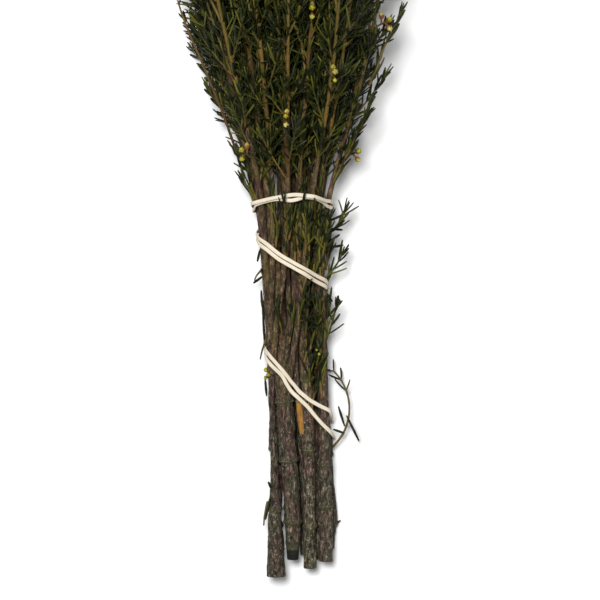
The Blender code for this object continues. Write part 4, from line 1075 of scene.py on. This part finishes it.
class Nodes:
    """A short way to write a material's nodes."""

    def __init__(self, name):
        self.material = bpy.data.materials.new(name)
        self.material.use_nodes = True
        self.tree = self.material.node_tree
        self.shader = self.tree.nodes["Principled BSDF"]

    def put(self, target, value):
        if isinstance(value, bpy.types.NodeSocket):
            self.tree.links.new(value, target)
        else:
            target.default_value = value

    def add(self, kind, inputs=(), **values):
        """The outputs of a new node with these inputs, by name or number, and these settings."""
        made = self.tree.nodes.new(kind)
        for key, value in values.items():
            setattr(made, key, value)
        for key, value in dict(inputs).items():
            self.put(made.inputs[key], value)
        return made.outputs

    def place(self, along=1.0):
        """Position in the row frame, in millimetres, the one along Y times along."""
        at = self.add("ShaderNodeTexCoord")["Object"]
        return self.add("ShaderNodeMapping", {"Vector": at, "Scale": (1000, 1000 * along, 1000)})[0]

    def growth(self):
        """The three growth values of the mesh: chance, age, and the third one."""
        grown = self.add("ShaderNodeAttribute", attribute_name="growth")["Vector"]
        return self.add("ShaderNodeSeparateXYZ", {0: grown})

    def noise(self, at, scale, detail=3.0, rough=0.55, distortion=0.0):
        keys = ("Vector", "Scale", "Detail", "Roughness", "Distortion")
        return self.add("ShaderNodeTexNoise", zip(keys, (at, scale, detail, rough, distortion)))["Fac"]

    def cells(self, at, scale):
        return self.add("ShaderNodeTexVoronoi", {"Vector": at, "Scale": scale}, feature="F1")["Distance"]

    def ramp(self, value, stops):
        """A colour that runs through the stops, each a place and three values for rgb."""
        made = self.tree.nodes.new("ShaderNodeValToRGB")
        self.put(made.inputs[0], value)
        elements = made.color_ramp.elements
        while len(elements) < len(stops):
            elements.new(0.5)
        for element, (place, *colour) in zip(elements, stops):
            element.position = place
            element.color = rgb(*colour)
        return made.outputs["Color"]

    def math(self, operation, a, b=0.0):
        return self.add("ShaderNodeMath", {0: a, 1: b}, operation=operation)[0]

    def span(self, value, low, high, to_low=0.0, to_high=1.0):
        """The value, low to high, as to_low to to_high."""
        keys = ("Value", "From Min", "From Max", "To Min", "To Max")
        return self.add("ShaderNodeMapRange", zip(keys, (value, low, high, to_low, to_high)), clamp=True)[0]

    def mix(self, share, a, b, how="MIX"):
        return self.add("ShaderNodeMix", {0: share, 6: a, 7: b}, data_type="RGBA", blend_type=how)[2]

    def bump(self, height, strength, distance):
        inputs = {"Height": height, "Strength": strength, "Distance": distance}
        self.put(self.shader.inputs["Normal"], self.add("ShaderNodeBump", inputs)[0])

    def finish(self, colour, roughness, specular=0.5):
        self.put(self.shader.inputs["Base Color"], colour)
        self.put(self.shader.inputs["Roughness"], roughness)
        self.shader.inputs["Specular IOR Level"].default_value = specular
        return self.material


def bark_finish():
    """Grey-brown bark with ridges, its crests partly painted highlight and its furrows partly painted shade;
    purple-red and mossy stains, ringed joints and pale speckles.
    """
    n = Nodes("bark")
    chance, age, kind = n.growth()
    even = n.place()
    ridge = n.noise(n.place(0.3), 0.8, 8, 0.72, 0.5)
    rough = n.noise(n.place(0.7), 2.6, 4, 0.6)
    # The base, warm, red, olive and peeled ramps all follow the ridge height, paler on the crests and
    # near-black in the furrows: partly the bark's own colour, partly painted highlight on the crests and
    # painted shade in the furrows.
    base = n.ramp(ridge, (
        (0.35, 9, 8, 5), (0.45, 36, 31, 22), (0.56, 86, 77, 61), (0.67, 168, 157, 137),
    ))
    warm_bark = n.ramp(ridge, ((0.35, 14, 9, 3), (0.5, 60, 45, 22), (0.67, 126, 99, 56)))
    base = n.mix(n.span(age, 0.28, 0.55, 0.0, 0.75), base, warm_bark)
    patch = n.noise(n.place(0.3), 0.2, 3)
    red = n.math("MULTIPLY", n.span(patch, 0.45, 0.58), n.span(age, 0.02, 0.3, 0.6, 1.0))
    red_bark = n.ramp(ridge, ((0.35, 19, 9, 10), (0.54, 82, 50, 47), (0.69, 144, 108, 100)))
    base = n.mix(n.math("MULTIPLY", red, 0.62), base, red_bark)
    olive = n.span(n.noise(n.place(0.2), 0.22, 2), 0.48, 0.62)
    olive_bark = n.ramp(ridge, ((0.3, 40, 32, 12), (0.7, 122, 102, 46)))
    base = n.mix(n.math("MULTIPLY", olive, n.span(age, 0.25, 0.75, 0.0, 0.9)), base, olive_bark)
    damp = n.span(n.noise(even, 0.35, 4, 0.6), 0.5, 0.62)
    moss = n.math("MULTIPLY", damp, n.span(age, 0.05, 0.42, 0.85, 0.15))
    joint = n.span(kind, 0.15, 0.8, 0.0, 0.75)
    moss = n.math("MAXIMUM", moss, n.math("MULTIPLY", joint, n.span(rough, 0.3, 0.55)))
    moss = n.math("MAXIMUM", moss, n.span(kind, -0.12, -0.42))
    base = n.mix(moss, base, n.ramp(rough, ((0.35, 22, 27, 13), (0.7, 84, 88, 54))))
    broken = n.span(n.noise(even, 0.9, 3), 0.42, 0.6, 0.0, 0.55)
    ring_line = n.math("MULTIPLY", n.span(kind, 0.9, 0.99), broken)
    base = n.mix(ring_line, base, rgb(150, 142, 112))
    speck = n.span(n.cells(n.place(0.6), 0.95), 0.14, 0.28, 1.0, 0.0)
    chosen = n.span(n.noise(even, 0.4, 3), 0.45, 0.54)
    flecks = n.math("MULTIPLY", n.math("MULTIPLY", speck, chosen), n.span(age, 0.3, 0.6, 0.62, 0.2))
    base = n.mix(flecks, base, rgb(172, 164, 146))
    pits = n.span(n.cells(n.place(0.5), 0.6), 0.16, 0.3, 0.85, 0.0)
    base = n.mix(n.math("MULTIPLY", pits, n.span(rough, 0.4, 0.6)), base, rgb(14, 11, 8))
    ragged = n.math("ADD", kind, n.span(rough, 0.3, 0.7, -0.3, 0.3))
    peeled = n.ramp(ridge, ((0.3, 100, 68, 28), (0.5, 142, 100, 42), (0.7, 166, 128, 68)))
    base = n.mix(n.span(ragged, 1.35, 1.75), base, peeled)
    base = n.mix(n.span(ragged, -0.72, -0.88), base, n.ramp(rough, ((0.35, 5, 5, 4), (0.7, 23, 21, 17))))
    tone = n.span(chance, 0.0, 1.0, 0.75, 1.16)
    shade = n.add("ShaderNodeCombineXYZ", {0: tone, 1: tone, 2: tone})[0]
    base = n.mix(1.0, base, shade, "MULTIPLY")
    height = n.math("ADD", ridge, n.math("MULTIPLY", rough, 0.6))
    height = n.math("SUBTRACT", height, n.math("MULTIPLY", pits, 0.3))
    n.bump(height, 0.9, 0.0007)
    return n.finish(base, n.span(ridge, 0.3, 0.7, 0.9, 0.62), 0.3)


def cut_finish():
    """The cut wood: pale, with growth rings and a dark pith, dirtied at the edge."""
    n = Nodes("cut_wood")
    share = n.growth()[1]
    even = n.place()
    rings = n.math("SINE", n.math("MULTIPLY", share, 34.0))
    grain = n.noise(even, 2.4, 4)
    base = n.ramp(grain, ((0.3, 120, 102, 74), (0.7, 176, 156, 120)))
    base = n.mix(n.span(rings, -0.2, 0.9, 0.0, 0.4), base, rgb(98, 78, 52))
    base = n.mix(n.span(share, 0.78, 0.9), base, rgb(52, 44, 34))
    base = n.mix(n.span(share, 0.16, 0.1), base, rgb(64, 48, 34))
    n.bump(grain, 0.4, 0.0002)
    return n.finish(base, 0.85, 0.25)


def twig_finish():
    """Light orange-brown at the foot, then olive, and green at the tips."""
    n = Nodes("twig")
    chance, age, _ = n.growth()
    grain = n.noise(n.place(0.1), 1.6, 5, 0.6)
    place = n.math("ADD", age, n.span(chance, 0, 1, -0.22, 0.22))
    base = n.ramp(place, ((0.0, 74, 54, 26), (0.18, 108, 83, 33), (0.5, 95, 82, 30), (0.85, 56, 62, 20)))
    base = n.mix(n.span(grain, 0.35, 0.6, 0.55, 0.0), base, rgb(48, 36, 20))
    base = n.mix(n.span(n.noise(n.place(), 0.25, 2), 0.55, 0.7, 0, 0.4), base, rgb(100, 58, 30))
    n.bump(grain, 0.4, 0.00025)
    return n.finish(base, 0.6, 0.25)


def needle_finish():
    """Dark green needles, each of its own shade, some of them yellowish, paler where they join."""
    n = Nodes("needle")
    chance, _, share = n.growth()
    base = n.ramp(chance, (
        (0.0, 11, 15, 3), (0.30, 18, 25, 5), (0.62, 31, 38, 7), (0.84, 50, 56, 12),
        (0.94, 76, 79, 19), (1.0, 106, 100, 31),
    ))
    streak = n.noise(n.place(0.4), 1.4, 3)
    base = n.mix(n.span(streak, 0.4, 0.75, 0.0, 0.3), base, rgb(58, 62, 32))
    base = n.mix(n.span(share, 0.16, 0.0, 0.0, 0.5), base, rgb(88, 84, 34))
    base = n.mix(n.span(share, 0.92, 1.0, 0.0, 0.5), base, rgb(82, 64, 34))
    n.bump(streak, 0.25, 0.0002)
    return n.finish(base, n.span(streak, 0.3, 0.7, 0.56, 0.42), 0.15)


def petal_finish():
    n = Nodes("petal")
    chance = n.growth()[0]
    mottle = n.noise(n.place(), 1.1, 3)
    base = n.ramp(mottle, ((0.3, 84, 92, 14), (0.52, 146, 146, 26), (0.75, 190, 182, 58)))
    base = n.mix(n.span(chance, 0.55, 0.95, 0.0, 0.6), base, rgb(196, 180, 126))
    n.bump(mottle, 0.3, 0.0002)
    n.shader.inputs["Subsurface Weight"].default_value = 0.15
    n.shader.inputs["Subsurface Radius"].default_value = (0.001, 0.001, 0.0005)
    return n.finish(base, 0.5, 0.4)


def cup_finish():
    n = Nodes("flower_cup")
    mottle = n.noise(n.place(), 1.6, 4)
    base = n.ramp(mottle, ((0.3, 70, 36, 22), (0.6, 132, 78, 42), (0.8, 120, 116, 52)))
    n.bump(mottle, 0.4, 0.0002)
    return n.finish(base, 0.6, 0.35)


def rubber_finish():
    """Cream rubber with fine lengthwise lines from its cut, faint dust and a soft sheen."""
    n = Nodes("cream_rubber")
    place, across, _ = n.growth()
    along, across = n.math("MULTIPLY", place, 0.5), n.math("MULTIPLY", across, 3.4)
    lines = n.noise(n.add("ShaderNodeCombineXYZ", {0: along, 1: across})[0], 2.2, 4, 0.6)
    dust = n.noise(n.place(), 0.45, 4, 0.6)
    base = n.ramp(lines, ((0.3, 190, 176, 152), (0.55, 212, 202, 182), (0.75, 226, 218, 202)))
    base = n.mix(n.span(dust, 0.52, 0.72, 0.0, 0.4), base, rgb(206, 184, 150))
    n.bump(n.math("ADD", lines, n.math("MULTIPLY", dust, 0.4)), 0.35, 0.0003)
    n.shader.inputs["Subsurface Weight"].default_value = 0.12
    n.shader.inputs["Subsurface Radius"].default_value = (0.002, 0.0015, 0.001)
    return n.finish(base, n.span(dust, 0.3, 0.7, 0.52, 0.66), 0.4)


def table_finish():
    n = Nodes("table")
    haze = n.noise(n.place(), 0.004, 2)
    base = n.mix(n.span(haze, 0.3, 0.7), (0.78, 0.78, 0.78, 1), (0.8, 0.8, 0.8, 1))
    n.shader.inputs["Emission Color"].default_value = (1, 1, 1, 1)
    n.shader.inputs["Emission Strength"].default_value = TABLE_GLOW
    return n.finish(base, 0.85, 0.2)


FINISH = {
    "bark": bark_finish(),
    "cut": cut_finish(),
    "twig": twig_finish(),
    "needle": needle_finish(),
    "petal": petal_finish(),
    "cup": cup_finish(),
    "rubber": rubber_finish(),
}


# Table, light and camera

def make_table():
    mesh = bpy.data.meshes.new("table_top")
    corners = [(x * TABLE_HALF, y * TABLE_HALF, 0) for x, y in ((-1, -1), (1, -1), (1, 1), (-1, 1))]
    mesh.from_pydata(corners, (), ((0, 1, 2, 3),))
    mesh.materials.append(table_finish())
    top = bpy.data.objects.new("table_top", mesh)
    bpy.context.scene.collection.objects.link(top)


def make_light(name, place, size, power):
    data = bpy.data.lights.new(name, "AREA")
    data.size, data.energy = size, power
    light = bpy.data.objects.new(name, data)
    light.location = place
    light.rotation_euler = (Vector((0, 0, 0)) - Vector(place)).to_track_quat("-Z", "Y").to_euler()
    bpy.context.scene.collection.objects.link(light)


def make_studio():
    make_table()
    for light in LIGHTS:
        make_light(*light)
    world = bpy.data.worlds.new("studio")
    world.use_nodes = True
    world.node_tree.nodes["Background"].inputs["Color"].default_value = (1, 1, 1, 1)
    world.node_tree.nodes["Background"].inputs["Strength"].default_value = WORLD_STRENGTH
    bpy.context.scene.world = world
    bpy.context.scene.view_settings.view_transform = "Standard"
    data = bpy.data.cameras.new("camera")
    data.sensor_width = 36.0
    data.lens = data.sensor_width * CAMERA_HEIGHT / VIEW_WIDTH
    data.clip_end = 20.0
    camera = bpy.data.objects.new("camera", data)
    camera.location = (VIEW_CENTRE[0], VIEW_CENTRE[1], VIEW_CENTRE[2] + CAMERA_HEIGHT)
    bpy.context.scene.collection.objects.link(camera)
    bpy.context.scene.camera = camera


# What the random draws of each kind of piece start from
WOOD_SEED, SPRAY_SEED, SPRIG_SEED, BUD_SEED = 21, 100, 200, 300


def main():
    make_studio()
    axes = make_axes()
    make_rubber_band(axes)
    rng = random.Random(WOOD_SEED)
    for number in range(len(MAIN_STEMS)):
        skin = Skin()
        for i, axis in enumerate(a for a in axes if a["number"] == number):
            bark_tube(skin, axis, number * 5 + i, rng.random(), rng)
        skin.make(f"bark_{number + 1}", ("bark", "cut"), "bark", f"woody_stem_{number + 1}")
    leftmost = min(axes, key=lambda a: point_on(a, 80.0).x)
    for k, axis in enumerate(axes):
        make_spray(axis, k, random.Random(SPRAY_SEED + k), axis is leftmost)
    for number, place in enumerate(SPRIG_PLACES):
        make_sprig(axes, number, place, random.Random(SPRIG_SEED + number))
    for number, place in enumerate(BUD_PLACES):
        make_buds(axes, number, place, random.Random(BUD_SEED + number))


main()
